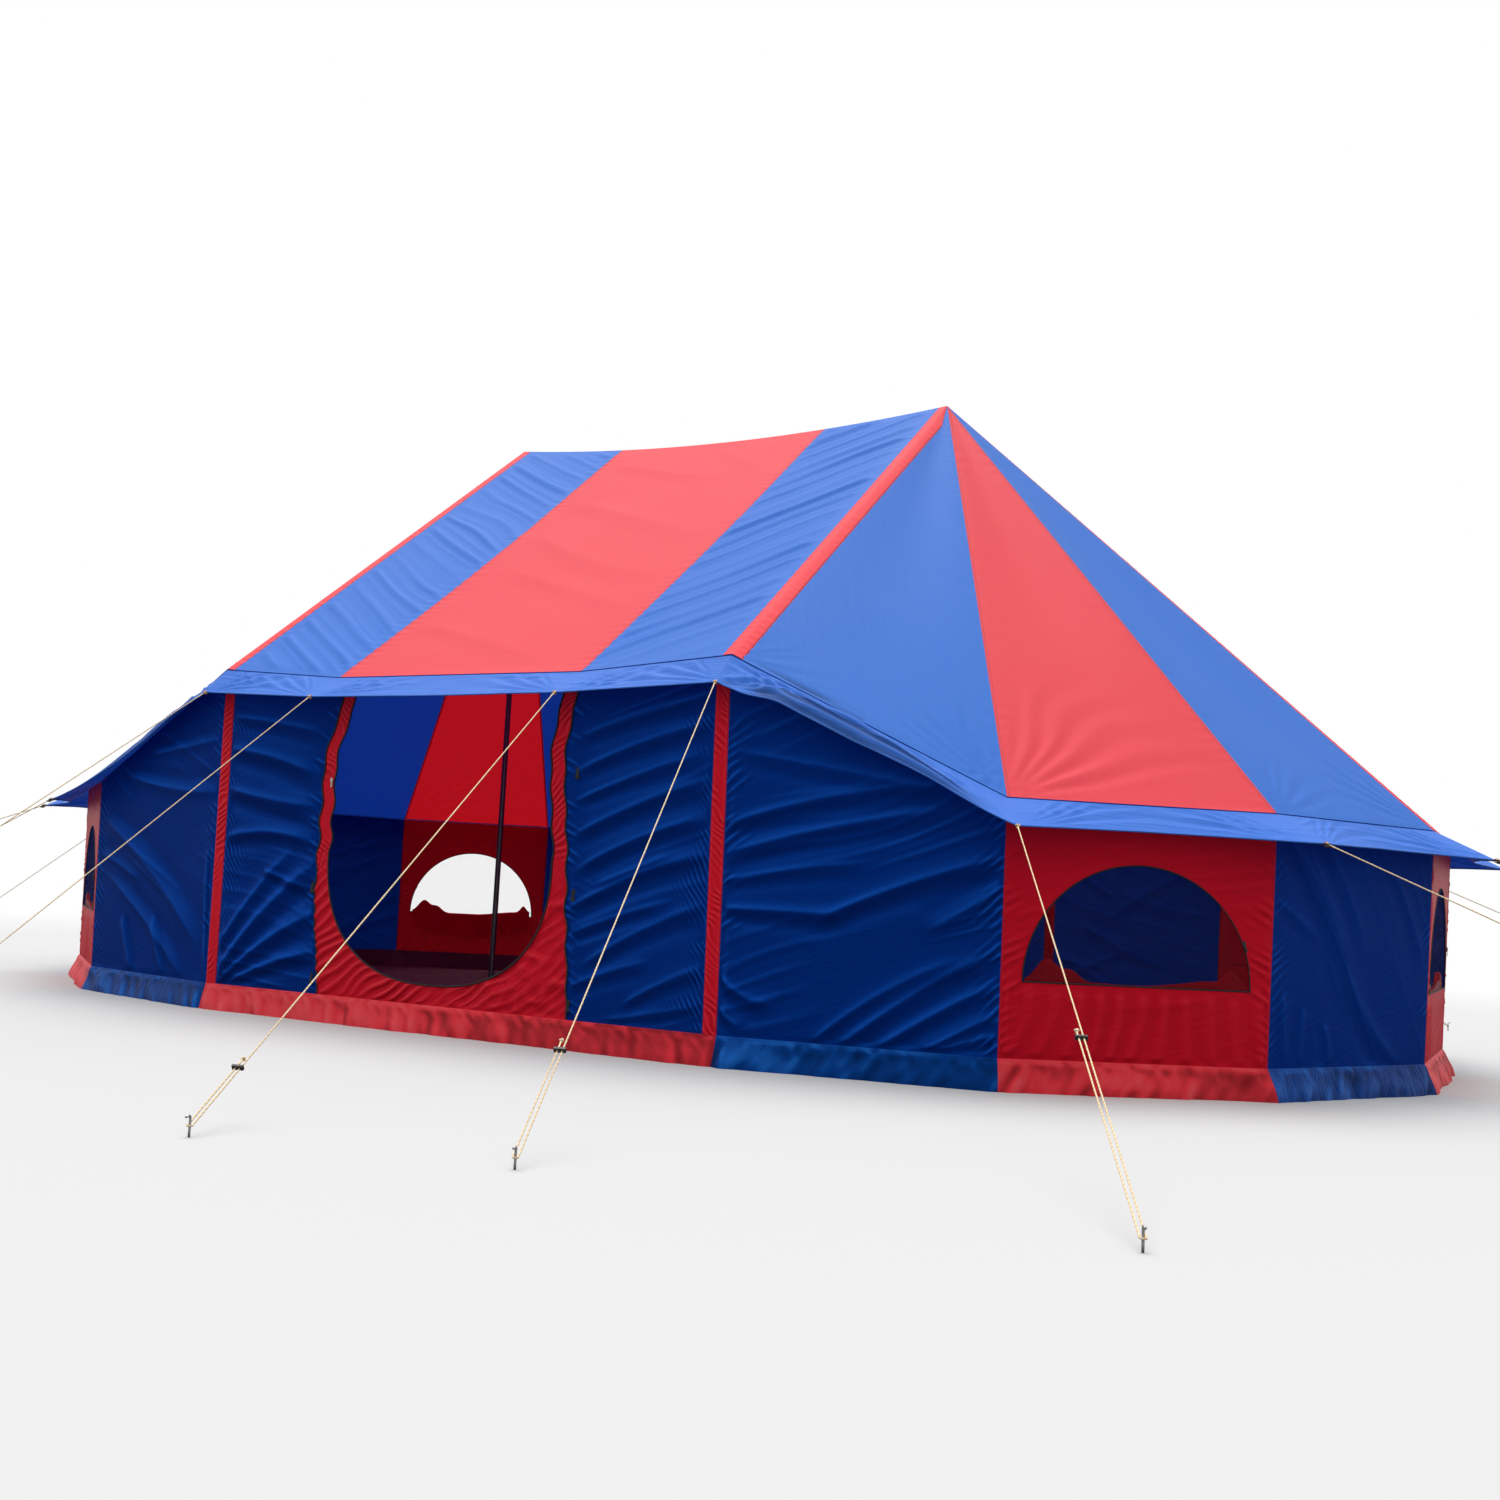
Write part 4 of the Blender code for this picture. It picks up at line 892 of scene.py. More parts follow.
def makeRoof():
    slope = math.hypot(tent["halfWidth"], tent["peak"] - tent["sideEave"])
    stripes = {
        "roof_stripe_blue_left": (-halfRidge, -tent["stripeHalf"], 67, "roofBlue"),
        "roof_stripe_red": (-tent["stripeHalf"], tent["stripeHalf"], 105, "roofRed"),
        "roof_stripe_blue_right": (tent["stripeHalf"], halfRidge, 67, "roofBlue"),
    }
    for name, (low, high, columns, colour) in stripes.items():
        grids, uvs = [], []
        for sign in (-1, 1):
            x, row = lattice((low, high, columns), (1e-6 * sign, sign, 261))
            grids.append(roofMiddlePoint(x, row))
            uvs.append(np.stack([x, row * slope], -1))
        piece = addCloth(name, meshOfGrids(name, grids, uvs), colour)
        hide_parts("roof_middle")
    length = math.hypot(tent["endReach"], tent["peak"] - tent["endEave"])
    for end, side in ends.items():
        for panel in range(tent["panels"]):
            turn, row = lattice((panel, panel + 1, 67), (0, 1, 181))
            turn = np.clip(turn, panel, panel + 1 - 1e-9)
            grid = roofEndPoint(side, turn, row)
            chord = panelChord(panel)
            uv = np.stack([(turn - panel - 0.5) * chord * row, row * length], -1)
            name = f"roof_panel_{end}_{panel + 1}"
            # painted shade along the eave creases of the first and last panel
            paintedShade = 0 * turn
            if panel in (0, tent["panels"] - 1):
                paintedShade = eaveCrease(turn - panel, (1 - row) * length, chord) / 0.008
            mesh = meshOfGrids(name, [grid], [uv], shades=[np.clip(paintedShade, 0, 1) * smooth((1 - row) / 0.008)])
            piece = addCloth(name, mesh, "roofRed" if isRedPanel(panel) else "roofBlue")
            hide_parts("roof_end_" + end)


makeRoof()
print("roof made")


# Border below the eave, hems, seams and tapes of the roof

edging = {
    "creaseHeight": 0.0060, "creaseLength": 0.45, "creaseWidth": 0.045, "fanHeight": 0.006, "fanReach": 0.75,
    "hemRadius": 0.0032, "pipingRadius": 0.0024, "seamWidth": 0.012, "seamLift": 0.0012, "tape": 0.094,
    "tapeLift": 0.0040, "tuck": 0.020, "lift": 0.026,
}


steepFolds = [
    # long folds in the border of the steep panels, from the tape's corner down to the next one's hem: place
    # along the eave and height above the hem of both ends, bow, two widths and height
    (0.02, 0.15, 0.62, 0.105, -0.01, 0.007, 0.01, 0.009), (0.05, 0.12, 0.75, 0.08, -0.012, 0.007, 0.01, 0.01),
    (0.1, 0.06, 0.9, 0.02, -0.01, 0.012, 0.016, 0.013), (0.25, 0.14, 1.0, 0.075, 0.0, 0.01, 0.014, 0.009),
    (0.45, 0.115, 1.1, 0.045, -0.006, 0.01, 0.014, 0.01), (0.6, 0.03, 1.12, 0.012, 0.0, 0.01, 0.012, 0.008),
    (0.0, 0.165, 0.3, 0.125, 0.0, 0.006, 0.008, 0.008), (0.02, 0.02, 0.14, 0.09, 0.0, 0.01, 0.014, 0.01),
    (0.3, 0.03, 0.62, 0.018, 0.004, 0.01, 0.012, 0.01), (0.75, 0.15, 1.1, 0.09, 0.0, 0.01, 0.012, 0.006),
]


def borderFold(p, height, out, fromLeft, fromRight, seed):
    # creases stretched along the eave, broad and fine, and fans from both hem corners into the panel
    p, height = np.broadcast_arrays(p / edging["creaseLength"], height / edging["creaseWidth"])
    fold = edging["creaseHeight"] * (longFolds(p, height + 0.4 * p, seed) - 0.3)
    height = height * edging["creaseWidth"]
    reach = edging["fanReach"]
    for away in (fromLeft, fromRight):
        fold = fold + fanFolds(away, height, (0.0, 0.0), 1, 50, 5, edging["fanHeight"], reach, seed + 3)
    return fold * smooth(out / 0.20) * (1 - 0.3 * out) * smooth(np.minimum(fromLeft, fromRight) / 0.03)


def steepHollow(turn, out, ease):
    # how far the slack border of the first and last panels tucks under, from 0 to 1: its lower half, from
    # beside the tape's corner to just before the next one, narrower towards the far end
    fromTape = np.minimum(turn, tent["panels"] - turn)
    along = smooth((fromTape - 0.08) / 0.14) * smooth((0.97 - fromTape) / 0.25)
    upper = 0.18 + 0.40 * smooth((fromTape - 0.55) / 0.35) + 0.20 * smooth((0.30 - fromTape) / 0.20)
    return along * smooth((out - upper) / ease)


def borderShade(turn, out):
    # painted shade: darkest in the hollow where the border tucks under, with thin lines of painted shade
    # along the long folds and the hem left pale
    chord = panelOf(turn)[2]
    fromTape = np.minimum(turn, tent["panels"] - turn)
    lines = foldLines(fromTape * chord, (1 - out) * endBorder(turn)[0], steepFolds)
    lines = np.where(fromTape < 1, lines, 0) / 0.010
    hollow = steepHollow(turn, out, 0.12) * smooth((1.0 - out) / 0.05) * (1 - 0.75 * np.clip(lines, 0, 1))
    return np.clip(1.5 * hollow - 0.9 * np.minimum(lines, 0), 0, 1)


def endBorderPoint(side, turn, out):
    panel, across, chord = panelOf(turn)
    height = (1 - out) * endBorder(turn)[0]
    place = roofEndBase(side, turn, 1 + out)
    fold = borderFold(turn * 1.1, height, out, across * chord, (1 - across) * chord, 41 if side > 0 else 47)
    steep = np.minimum(panel, tent["panels"] - 1 - panel) == 0
    fromTape = np.where(panel == 0, across, 1 - across) * chord
    fold = fold + np.where(steep, foldLines(fromTape, height, steepFolds), 0) * smooth(out / 0.12)
    hollow = steepHollow(turn, out, 0.30)
    dx, dy = endPlan(turn)
    inward = edging["tuck"] * hollow / np.hypot(dx, dy)
    place[..., 0] -= side * inward * dx
    place[..., 1] -= inward * dy
    place[..., 2] += fold + edging["lift"] * hollow
    return place


def sideBorderPoint(front, x, out):
    height = (1 - out) * sideBorder(x)[0]
    fromJoint, fromTape = np.abs(np.abs(x) - tent["stripeHalf"]), halfRidge - np.abs(x)
    place = roofMiddleBase(x, front * (1 + out))
    place[..., 2] += borderFold(x, height, out, fromJoint, fromTape, 53 if front < 0 else 59)
    return place


def makeBorders():
    hems, piping = [], []
    outs = (0, 1, 34)
    for end, side in ends.items():
        turn, out = lattice((0, tent["panels"], tent["panels"] * 92 + 1), outs)
        grid, uv = endBorderPoint(side, turn, out), np.stack([turn * 1.1, out * 0.15], -1)
        name = "roof_border_" + end
        piece = addCloth(name, meshOfGrids(name, [grid], [uv], shades=[borderShade(turn, out)]), "borderBlue")
        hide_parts("roof_end_" + end)
        hems.append(grid[-1])
        piping.append(grid[0] + [0, 0, 0.001])
    for end, front in (("front", -1), ("back", 1)):
        x, out = lattice((-halfRidge, halfRidge, 243), outs)
        grid, uv = sideBorderPoint(front, x, out), np.stack([x, out * 0.17], -1)
        name = "roof_border_" + end
        piece = addCloth(name, meshOfGrids(name, [grid], [uv]), "borderBlue")
        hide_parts("roof_middle")
        hems.append(grid[-1])
        piping.append(grid[0] + [0, 0, 0.001])
    tubes("roof_hem", hems, edging["hemRadius"], 7, "borderBlue", "blue_cloth")
    tubes("roof_piping", piping, edging["pipingRadius"], 6, "wallBlue", "blue_cloth")


def seamRibbon(placeAt, rows, width, lift, across):
    # a strip along a seam, with its columns close together at both edges: its height over the cloth is
    # lift times 1 - t^10, so that the edges just go under
    s, t = np.meshgrid(rows, np.sin(np.linspace(-np.pi / 2, np.pi / 2, across)), indexing="ij")
    grid = placeAt(s, t * width)
    grid[..., 2] += lift * (1 - np.abs(t) ** 10) - 0.0004 * np.abs(t) ** 10
    along = np.cumsum(np.linalg.norm(np.diff(grid[:, across // 2], axis=0), axis=1))
    v = np.concatenate([[0], along])[:, None] + 0 * t
    return grid, np.stack([t * width, v], -1)


def makeRoofSeams():
    red, tapes = [], []
    rows = np.linspace(0.004, 0.999, 300)
    width = edging["seamWidth"] / 2
    for side in ends.values():
        for corner in range(1, tent["panels"]):
            inward = 1 if isRedPanel(corner) else -1
            chord = panelChord(corner if inward > 0 else corner - 1)

            def seamPlace(s, u):
                aside = np.maximum(np.clip((u + width) / (chord * s), 0, 0.3), 1e-9)
                return roofEndPoint(side, corner + inward * aside, s)
            red.append(seamRibbon(seamPlace, rows, width, edging["seamLift"], 5))
        chord = panelChord(0)
        for front in (-1, 1):
            def jointPlace(s, u):
                return roofMiddlePoint(side * (tent["stripeHalf"] - width) + u, front * s)

            def tapePlace(s, u):
                # the inner half lies on the striped middle, the outer half on the end's first or last panel
                narrow = np.minimum(1, s * chord * 0.5 / (edging["tape"] / 2))
                inner = roofMiddlePoint(side * (halfRidge + np.minimum(u, 0)), front * s)
                turn = np.clip(np.maximum(u, 0) * narrow / (chord * s), 1e-9, 0.5)
                outer = roofEndPoint(side, turn if front < 0 else tent["panels"] - turn, s)
                return np.where((u > 0)[..., None], outer, inner)
            red.append(seamRibbon(jointPlace, rows, width, edging["seamLift"], 5))
            tapes.append(seamRibbon(tapePlace, rows, edging["tape"] / 2, edging["tapeLift"], 13))
    addCloth("roof_seams", meshOfStrips("roof_seams", red), "seamRed")
    addCloth("roof_tapes", meshOfStrips("roof_tapes", tapes), "roofTapeRed")


makeBorders()
makeRoofSeams()
print("roof borders, seams and tapes made")


# Walls

walls = {
    "topDrop": 0.004, "soft": 0.0060, "crease": 0.0034, "creaseLength": 0.55, "creaseWidth": 0.095,
    "foldStrength": 1.45, "edgeEase": 0.035, "skirtFlare": 0.016, "skirtFold": 0.022, "tape": 0.067,
    "chanceHeight": 0.009, "crinkle": 0.0070, "crinkleSpacing": 0.043, "tapeCrinkle": 0.0034,
    "tapeCrinkleSpacing": 0.034, "seamWidth": 0.011, "seamLift": 0.0016, "skirtLean": 0.075,
    "skirtBulge": 0.008,
}


def wallLevel(row, top):
    # height and plan share: row -1 to 0 is the skirt, 0 to 1 the wall
    skirt, share = np.clip(-row, 0, 1), np.clip(row, 0, 1)
    foot, low = tent["foot"], tent["footShare"]
    z = foot * (1 - skirt) + share * (top - foot)
    return z, low + share * (1 - low) + skirt * (tent["skirtShare"] - low)


def endWallPoint(side, turn, row, fold):
    dx, dy = endPlan(turn)
    z, share = wallLevel(row, endEave(turn) - walls["topDrop"])
    reach = np.hypot(dx, dy)
    x = halfRidge + dx * share + fold * dx / reach
    y = dy * share + fold * dy / reach
    return np.stack(np.broadcast_arrays(side * x, y, z), -1)


def sideWallPoint(front, x, eaveX, row, fold):
    z, share = wallLevel(row, sideEave(eaveX) - walls["topDrop"])
    return np.stack(np.broadcast_arrays(x, front * (tent["halfWidth"] * share + fold), z), -1)


door = {
    "strip": 0.075, "sill": 0.216, "bend": 0.80, "head": 1.60, "roundness": 2.4, "zipRadius": 0.0046,
    "zipLift": 0.0022, "rollRadius": 0.038, "rollLeft": -0.66, "rollRight": 0.14, "rollTurns": 2.4,
    "rollCore": 0.010, "rollGrowth": 0.0245, "rollPinch": 0.13, "tiePlaces": (0.24, 0.78),
    "tieRadius": 0.0335, "tieStrand": 0.0028, "hemRadius": 0.003, "hemLift": 0.001,
    "wiggle": 0.011, "wiggleLength": 0.115, "pleat": 0.009, "pleatSpacing": 0.052, "cross": 0.004,
}


def wavePath(value, knots, values):
    # level at every knot and eased between them
    value = np.asarray(value, float)
    place = np.clip(np.searchsorted(knots, value) - 1, 0, len(knots) - 2)
    low, high = np.take(knots, place), np.take(knots, place + 1)
    share = smooth((value - low) / (high - low))
    return np.take(values, place) * (1 - share) + np.take(values, place + 1) * share


def doorWiggle(row, seed):
    # a sine up the zip whose size comes and goes
    size = 0.5 + 0.5 * softNoise(row * 6, row * 0 + 0.5, seed)
    wave = door["wiggle"] * size * np.sin(2 * np.pi * row / door["wiggleLength"])
    return wave * smooth(row / 0.1) * smooth((1 - row) / 0.05)


def leftDoorEdge(row):
    wave = wavePath(row, [-1, 0, 0.31, 0.72, 0.94, 1], [0, -0.02, -0.067, -0.056, 0.035, 0])
    return wave + doorWiggle(row, 225) - tent["stripeHalf"]


def rightDoorEdge(row):
    wave = wavePath(row, [-1, 0, 0.40, 0.755, 0.95, 1], [0, 0.012, -0.02, -0.056, -0.012, 0])
    return wave + doorWiggle(row, 227) + tent["stripeHalf"]


def chanceFolds(width, low, high, count, seed):
    # slanting folds at seeded places, most of them rising away from the first seam
    random = np.random.default_rng(seed)
    lines = []
    for k in range(count):
        u = random.uniform(0, 0.7 * width)
        z = low + (high - low) * (k + random.uniform(0, 1)) / count
        length = random.uniform(0.45, 0.90) * width
        slant = math.radians(random.uniform(6, 34)) * (1 if random.uniform() < 0.92 else -1)
        lines.append((u, z, u + length * math.cos(slant), z + length * math.sin(slant),
                      random.uniform(-0.03, 0.03), random.uniform(0.022, 0.035), random.uniform(0.03, 0.05),
                      walls["chanceHeight"] * random.uniform(0.5, 1.1)))
    return lines


def seamCrinkle(edge, z, slant, seed):
    # short wrinkles beside a gathered seam: a sharpened sine of a slanting place, each with its own length
    phase = (z - slant * edge) / walls["crinkleSpacing"] + 0.5 * softNoise(z * 8, edge * 3, seed)
    ripple = (0.5 + 0.5 * np.sin(2 * np.pi * phase)) ** 2
    strength = np.clip(0.35 + 0.85 * softNoise(z * 17, edge * 6, seed + 1), 0, 1)
    near = smooth(edge / 0.012) * np.exp(-(edge / (0.04 + 0.05 * strength)) ** 2)
    return walls["crinkle"] * ripple * strength * near


def slantCreases(u, z, slant, seed):
    # long folds along a slanting line
    angle = math.radians(slant)
    along = (u * math.cos(angle) + z * math.sin(angle)) / walls["creaseLength"]
    across = (z * math.cos(angle) - u * math.sin(angle)) / walls["creaseWidth"]
    return walls["crease"] * longFolds(along, across, seed)


def wallFold(u, z, width, top, lines, seed, slant=18, rough=1.0):
    # listed or seeded folds, soft unevenness, fine creases, and wrinkles along both seams
    fold = foldLines(u, z, lines) * walls["foldStrength"] * rough
    fold = fold + walls["soft"] * softNoise(u * 3.1 + seed, z * 2.7, seed) * rough
    fold = fold + slantCreases(u, z + seed, slant, seed + 5) * rough
    near = np.minimum(u, width - u)
    fold = fold * smooth(near / walls["edgeEase"])
    fold = fold + (seamCrinkle(u, z, 0.7, seed + 7) + seamCrinkle(width - u, z, -0.9, seed + 8)) * rough
    return fold * smooth((top - z) / 0.05) * smooth((z - tent["foot"]) / 0.03)


def skirtFold(p, row, seed):
    # long upright folds, broad and narrow, that lean over and deepen from the gathered seam to the ground
    down = np.clip(-row, 0, 1)
    lean = p + walls["skirtLean"] * down
    wave = 0.75 * softNoise(lean * 9, down * 0.5, seed)
    wave = wave + 0.40 * softNoise(lean * 22, down * 0.7, seed + 1)
    gather = 0.5 + 0.5 * softNoise(p * 30, down * 3, seed + 2)
    bulge = walls["skirtBulge"] * (0.4 + gather) * smooth(down / 0.10) * np.exp(-(down / 0.40) ** 2)
    flare = bulge + smooth(down) * walls["skirtFlare"]
    return flare + smooth(down / 0.8) * walls["skirtFold"] * (wave + 0.25)


def skirtShade(grid, p, row):
    # painted highlight and shade on the flanks of the upright folds, a painted shadow line, dark and uneven,
    # where the skirt is gathered to the wall, and a little painted shade all over
    seamShadow = np.exp(-((row + 0.06) / 0.07) ** 2) * (0.50 + 0.50 * softNoise(p * 30, row * 0 + 0.5, 189))
    return np.clip(flankShade(grid, aside=1.5, reach=0.26, bendReach=26.0) + seamShadow + 0.12, -1, 1)


def wallTop(turn):
    return endEave(turn) - walls["topDrop"]


endFolds = {
    # fold lines on the panels that show: from (u, z) to (u, z), bow, two widths and height, in metres
    ("right", 0): [
        (0.0, 0.99, 0.83, 1.18, 0.03, 0.03, 0.05, 0.012), (0.0, 0.87, 0.91, 1.09, 0.02, 0.03, 0.045, 0.011),
        (0.0, 0.65, 0.52, 0.65, 0.0, 0.025, 0.04, 0.01), (0.42, 0.63, 1.15, 0.91, 0.02, 0.03, 0.045, 0.012),
        (0.52, 0.13, 1.15, 0.55, 0.02, 0.03, 0.045, 0.011),
        (0.67, 0.13, 1.15, 0.42, 0.01, 0.025, 0.035, 0.009),
        (0.85, 0.13, 1.15, 0.3, 0.0, 0.02, 0.03, 0.007), (1.15, 0.8, 0.86, 0.61, 0.01, 0.03, 0.04, 0.01),
        (0.4, 0.13, 0.98, 0.5, 0.03, 0.025, 0.04, 0.008), (0.0, 0.38, 0.24, 0.27, -0.03, 0.02, 0.04, 0.008),
        (0.0, 0.25, 0.1, 0.17, -0.01, 0.015, 0.03, 0.006), (0.05, 1.3, 0.95, 1.16, 0.0, 0.03, 0.04, 0.006),
        (0.0, 0.76, 0.6, 0.86, 0.01, 0.022, 0.034, 0.006), (0.9, 0.13, 1.15, 0.22, 0.0, 0.018, 0.026, 0.006),
    ],
    ("right", 2): [
        (0.12, 1.02, 0.52, 0.5, 0.04, 0.05, 0.07, 0.013), (0.5, 0.52, 0.88, 0.13, -0.03, 0.06, 0.05, 0.012),
        (0.3, 1.08, 0.62, 0.62, 0.02, 0.03, 0.05, 0.007), (0.08, 0.42, 0.11, 0.14, 0.0, 0.025, 0.035, 0.007),
        (0.22, 0.36, 0.2, 0.13, 0.0, 0.025, 0.035, 0.007), (0.36, 0.3, 0.4, 0.13, 0.01, 0.025, 0.035, 0.007),
        (0.8, 0.95, 1.05, 0.55, 0.02, 0.03, 0.04, 0.006), (0.02, 0.8, 0.3, 0.66, 0.0, 0.025, 0.035, 0.005),
    ],
    ("left", 0): [
        (0.81, 1.16, 0.02, 1.08, 0.02, 0.03, 0.045, 0.011), (0.62, 1.28, 0.0, 1.35, 0.0, 0.025, 0.035, 0.008),
        (1.05, 0.92, 0.1, 0.3, -0.05, 0.05, 0.06, 0.013), (0.95, 0.6, 0.25, 0.15, -0.02, 0.035, 0.045, 0.009),
        (0.06, 0.75, 0.02, 0.16, 0.01, 0.014, 0.02, 0.006),
        (0.55, 0.42, 0.42, 0.13, 0.0, 0.025, 0.035, 0.008),
        (0.85, 0.4, 0.74, 0.13, 0.0, 0.025, 0.035, 0.008), (1.08, 0.75, 0.7, 0.62, 0.0, 0.03, 0.04, 0.006),
    ],
}


# the slant in degrees of the fine creases of those panels
endSlants = {("right", 0): 20, ("right", 2): -58, ("left", 0): 24}


def plainPanel(end, side, panel):
    # a sewn panel without a window, from seam to seam and from the skirt's seam to the eave
    chord = panelChord(panel)
    seed = 60 + panel + (20 if side < 0 else 0)
    lines = endFolds.get((end, panel)) or chanceFolds(chord, 0.15, 1.05, 9, seed)
    columns, rows = (161, 221) if (end, panel) in endFolds else (111, 131)
    across, row = lattice((0, 1, columns), (0, 1, rows))
    top = wallTop(panel + across)
    z = tent["foot"] + row * (top - tent["foot"])
    slant = endSlants.get((end, panel), 15 if panel % 4 else -20)
    rough = 0.45 if (end, panel) == ("right", 2) else 1.0
    seed = 90 + panel + (10 if side < 0 else 0)
    fold = wallFold(across * chord, z, chord, top, lines, seed, slant, rough)
    grid = endWallPoint(side, panel + across, row, fold)
    return [grid], [np.stack([across * chord, z], -1)]


windows = {
    "radius": 0.475, "sill": 0.425, "zipRadius": 0.0032, "zipLift": 0.0008, "netDepth": 0.0035,
    "netBelly": 0.006, "soft": 0.004, "gather": 0.009, "gatherSpacing": 0.11,
    "flapDrop": 0.17, "flapDepth": 0.022, "flapUp": 0.40, "flapWaves": 0.09, "closed": [("right", 3)],
    # where the dropped flap stands up over the sill: place, width and height
    "lumps": [(-0.37, 0.060, 0.090), (-0.27, 0.05, 0.045), (0.41, 0.030, 0.045)],
}


def windowFold(a, z, panel, side):
    # calm cloth round the half-moon, upright gathers below its sill
    seed = 130 + panel + (10 if side < 0 else 0)
    half, radius, sill = panelChord(panel) / 2, windows["radius"], windows["sill"]
    fold = windows["soft"] * softNoise(a * 3 + seed, z * 3, seed)
    fold = fold + 0.6 * slantCreases(a, z + seed, 12, seed + 1)
    phase = a / windows["gatherSpacing"] + 0.8 * softNoise(a * 4, z * 3, seed + 2)
    gathers = windows["gather"] * (0.5 + 0.5 * np.sin(2 * np.pi * phase)) ** 1.5
    below = smooth((sill - z) / 0.06) * smooth((z - tent["foot"]) / 0.02)
    fold = fold + gathers * below * (0.6 + 0.4 * softNoise(a * 2, z * 0 + 0.5, seed + 3))
    fromSill = np.maximum(np.abs(z - sill), np.abs(a) - radius)
    fromZip = np.where(z > sill, np.abs(np.hypot(a, z - sill) - radius), fromSill)
    calm = 0.15 + 0.85 * smooth(fromZip / 0.06)
    edge = half - np.abs(a)
    fold = fold * calm * smooth(edge / walls["edgeEase"]) + seamCrinkle(edge, z, 0.5, seed + 4)
    return fold * smooth((wallTop(3.5) - z) / 0.05) * smooth((z - tent["foot"]) / 0.03)


def windowPlace(side, panel, a, z, lift=0.0):
    # a is measured along the cloth from the panel's middle, z upwards
    half, top = panelChord(panel) / 2, wallTop(3.5)
    row = (z - tent["foot"]) / (top - tent["foot"])
    return endWallPoint(side, panel + 0.5 + a / (2 * half), row, windowFold(a, z, panel, side) + lift)


def windowPanel(side, panel):
    # two patches: between the arc and the panel's edges, and the strip below the sill
    half, top = panelChord(panel) / 2, wallTop(3.5)
    radius, sill = windows["radius"], windows["sill"]
    corner = math.atan2(top - sill, half)
    theta = np.concatenate([np.linspace(0, corner, 50)[:-1], np.linspace(corner, np.pi - corner, 71)[:-1],
                            np.linspace(np.pi - corner, np.pi, 50)])
    sideways = half / np.maximum(np.abs(np.cos(theta)), 1e-6)
    reach = np.minimum(sideways, (top - sill) / np.maximum(np.sin(theta), 1e-6))
    step = np.linspace(0, 1, 31)[:, None]
    away = radius + (reach - radius) * step
    a, z = away * np.cos(theta), sill + away * np.sin(theta)
    outer = radius + (half - radius) * step[:, 0]
    columns = np.concatenate([-outer[::-1], np.linspace(-radius, radius, 111)[1:-1], outer])
    patches = [(a, z), np.meshgrid(columns, np.linspace(tent["foot"], sill, 41))]
    grids = [windowPlace(side, panel, *patch) for patch in patches]
    return grids, [np.stack(patch, -1) for patch in patches]


def droppedFlap(side, panel):
    # it rises over the sill, most at its two ends, and hangs down behind the cloth
    radius, sill = windows["radius"], windows["sill"]
    a, v = lattice((-radius * 0.97, radius * 0.97, 121), (0, 1, 33))
    seed = 170 + panel + (10 if side < 0 else 0)
    lump = sum(height * np.exp(-((a - place) / width) ** 2) for place, width, height in windows["lumps"])
    lump = lump + 0.030 * smooth((a - 0.02) / 0.35)
    rise = 0.010 + 0.010 * softNoise(a * 7, a * 0 + 0.5, seed) ** 2 + lump
    upward, over = smooth(v / 0.28), smooth((v - 0.18) / 0.22)
    down = smooth((v - 0.30) / 0.70)
    z = sill - 0.006 + rise * upward - (rise + windows["flapDrop"] * (1 - 0.5 * (a / radius) ** 2)) * down
    depth = 0.009 + windows["flapDepth"] * over * (1 + 0.5 * softNoise(a * 9 + v, v * 2, seed + 1))
    phase = a / windows["flapWaves"] + 0.6 * softNoise(a * 5, v * 3, seed + 2)
    depth = depth + 0.008 * (1 + np.sin(2 * np.pi * phase)) * down
    grid = windowPlace(side, panel, a, np.clip(z, 0.2, None), -depth)
    # the third value is painted shade, dark where the flap stands up over the sill
    return grid, np.stack([a, v * windows["flapUp"]], -1), smooth((0.36 - v) / 0.12)


def makeWindow(end, side, panel, number):
    # the zip round a half-moon, its net, and its flap: closed behind the net or dropped below the sill
    radius, sill = windows["radius"], windows["sill"]
    theta, line = np.linspace(0, np.pi, 121), np.linspace(-radius, radius, 81)
    paths = [(radius * np.cos(theta), sill + radius * np.sin(theta)), (line, sill + 0 * line)]
    paths = [windowPlace(side, panel, *path, windows["zipLift"]) for path in paths]
    zips = tubes(f"window_zip_{end}_{number}", paths, windows["zipRadius"], 8, "zip", "black_plastic")
    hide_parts("end_wall_" + end)
    share, turn = lattice((0, 1.012, 26), (0, np.pi, 61))
    a, up = radius * share * np.cos(turn), radius * share * np.sin(turn)
    belly = windows["netBelly"] * (1 - share ** 2) * (0.6 + 0.4 * softNoise(a * 4, up * 4, 160 + panel))
    grid = windowPlace(side, panel, a, sill + up, -windows["netDepth"] - belly)
    uv = np.stack([a, up], -1)
    mesh = meshOfGrids("net", [grid], [uv])
    net = addPiece(f"window_net_{end}_{number}", mesh, "net", "black_plastic")
    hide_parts("end_wall_" + end)
    title = f"window_flap_{end}_{number}"
    closed = (end, number) in windows["closed"]
    if closed:
        grid = windowPlace(side, panel, 0.99 * a, sill + 0.99 * up, -3 * windows["netDepth"] - belly)
        paintedShade = 0 * a
    else:
        grid, uv, paintedShade = droppedFlap(side, panel)
    flap = addCloth(title, meshOfGrids(title, [grid], [uv], shades=[paintedShade]), "wallRed")
    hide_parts("end_wall_" + end)


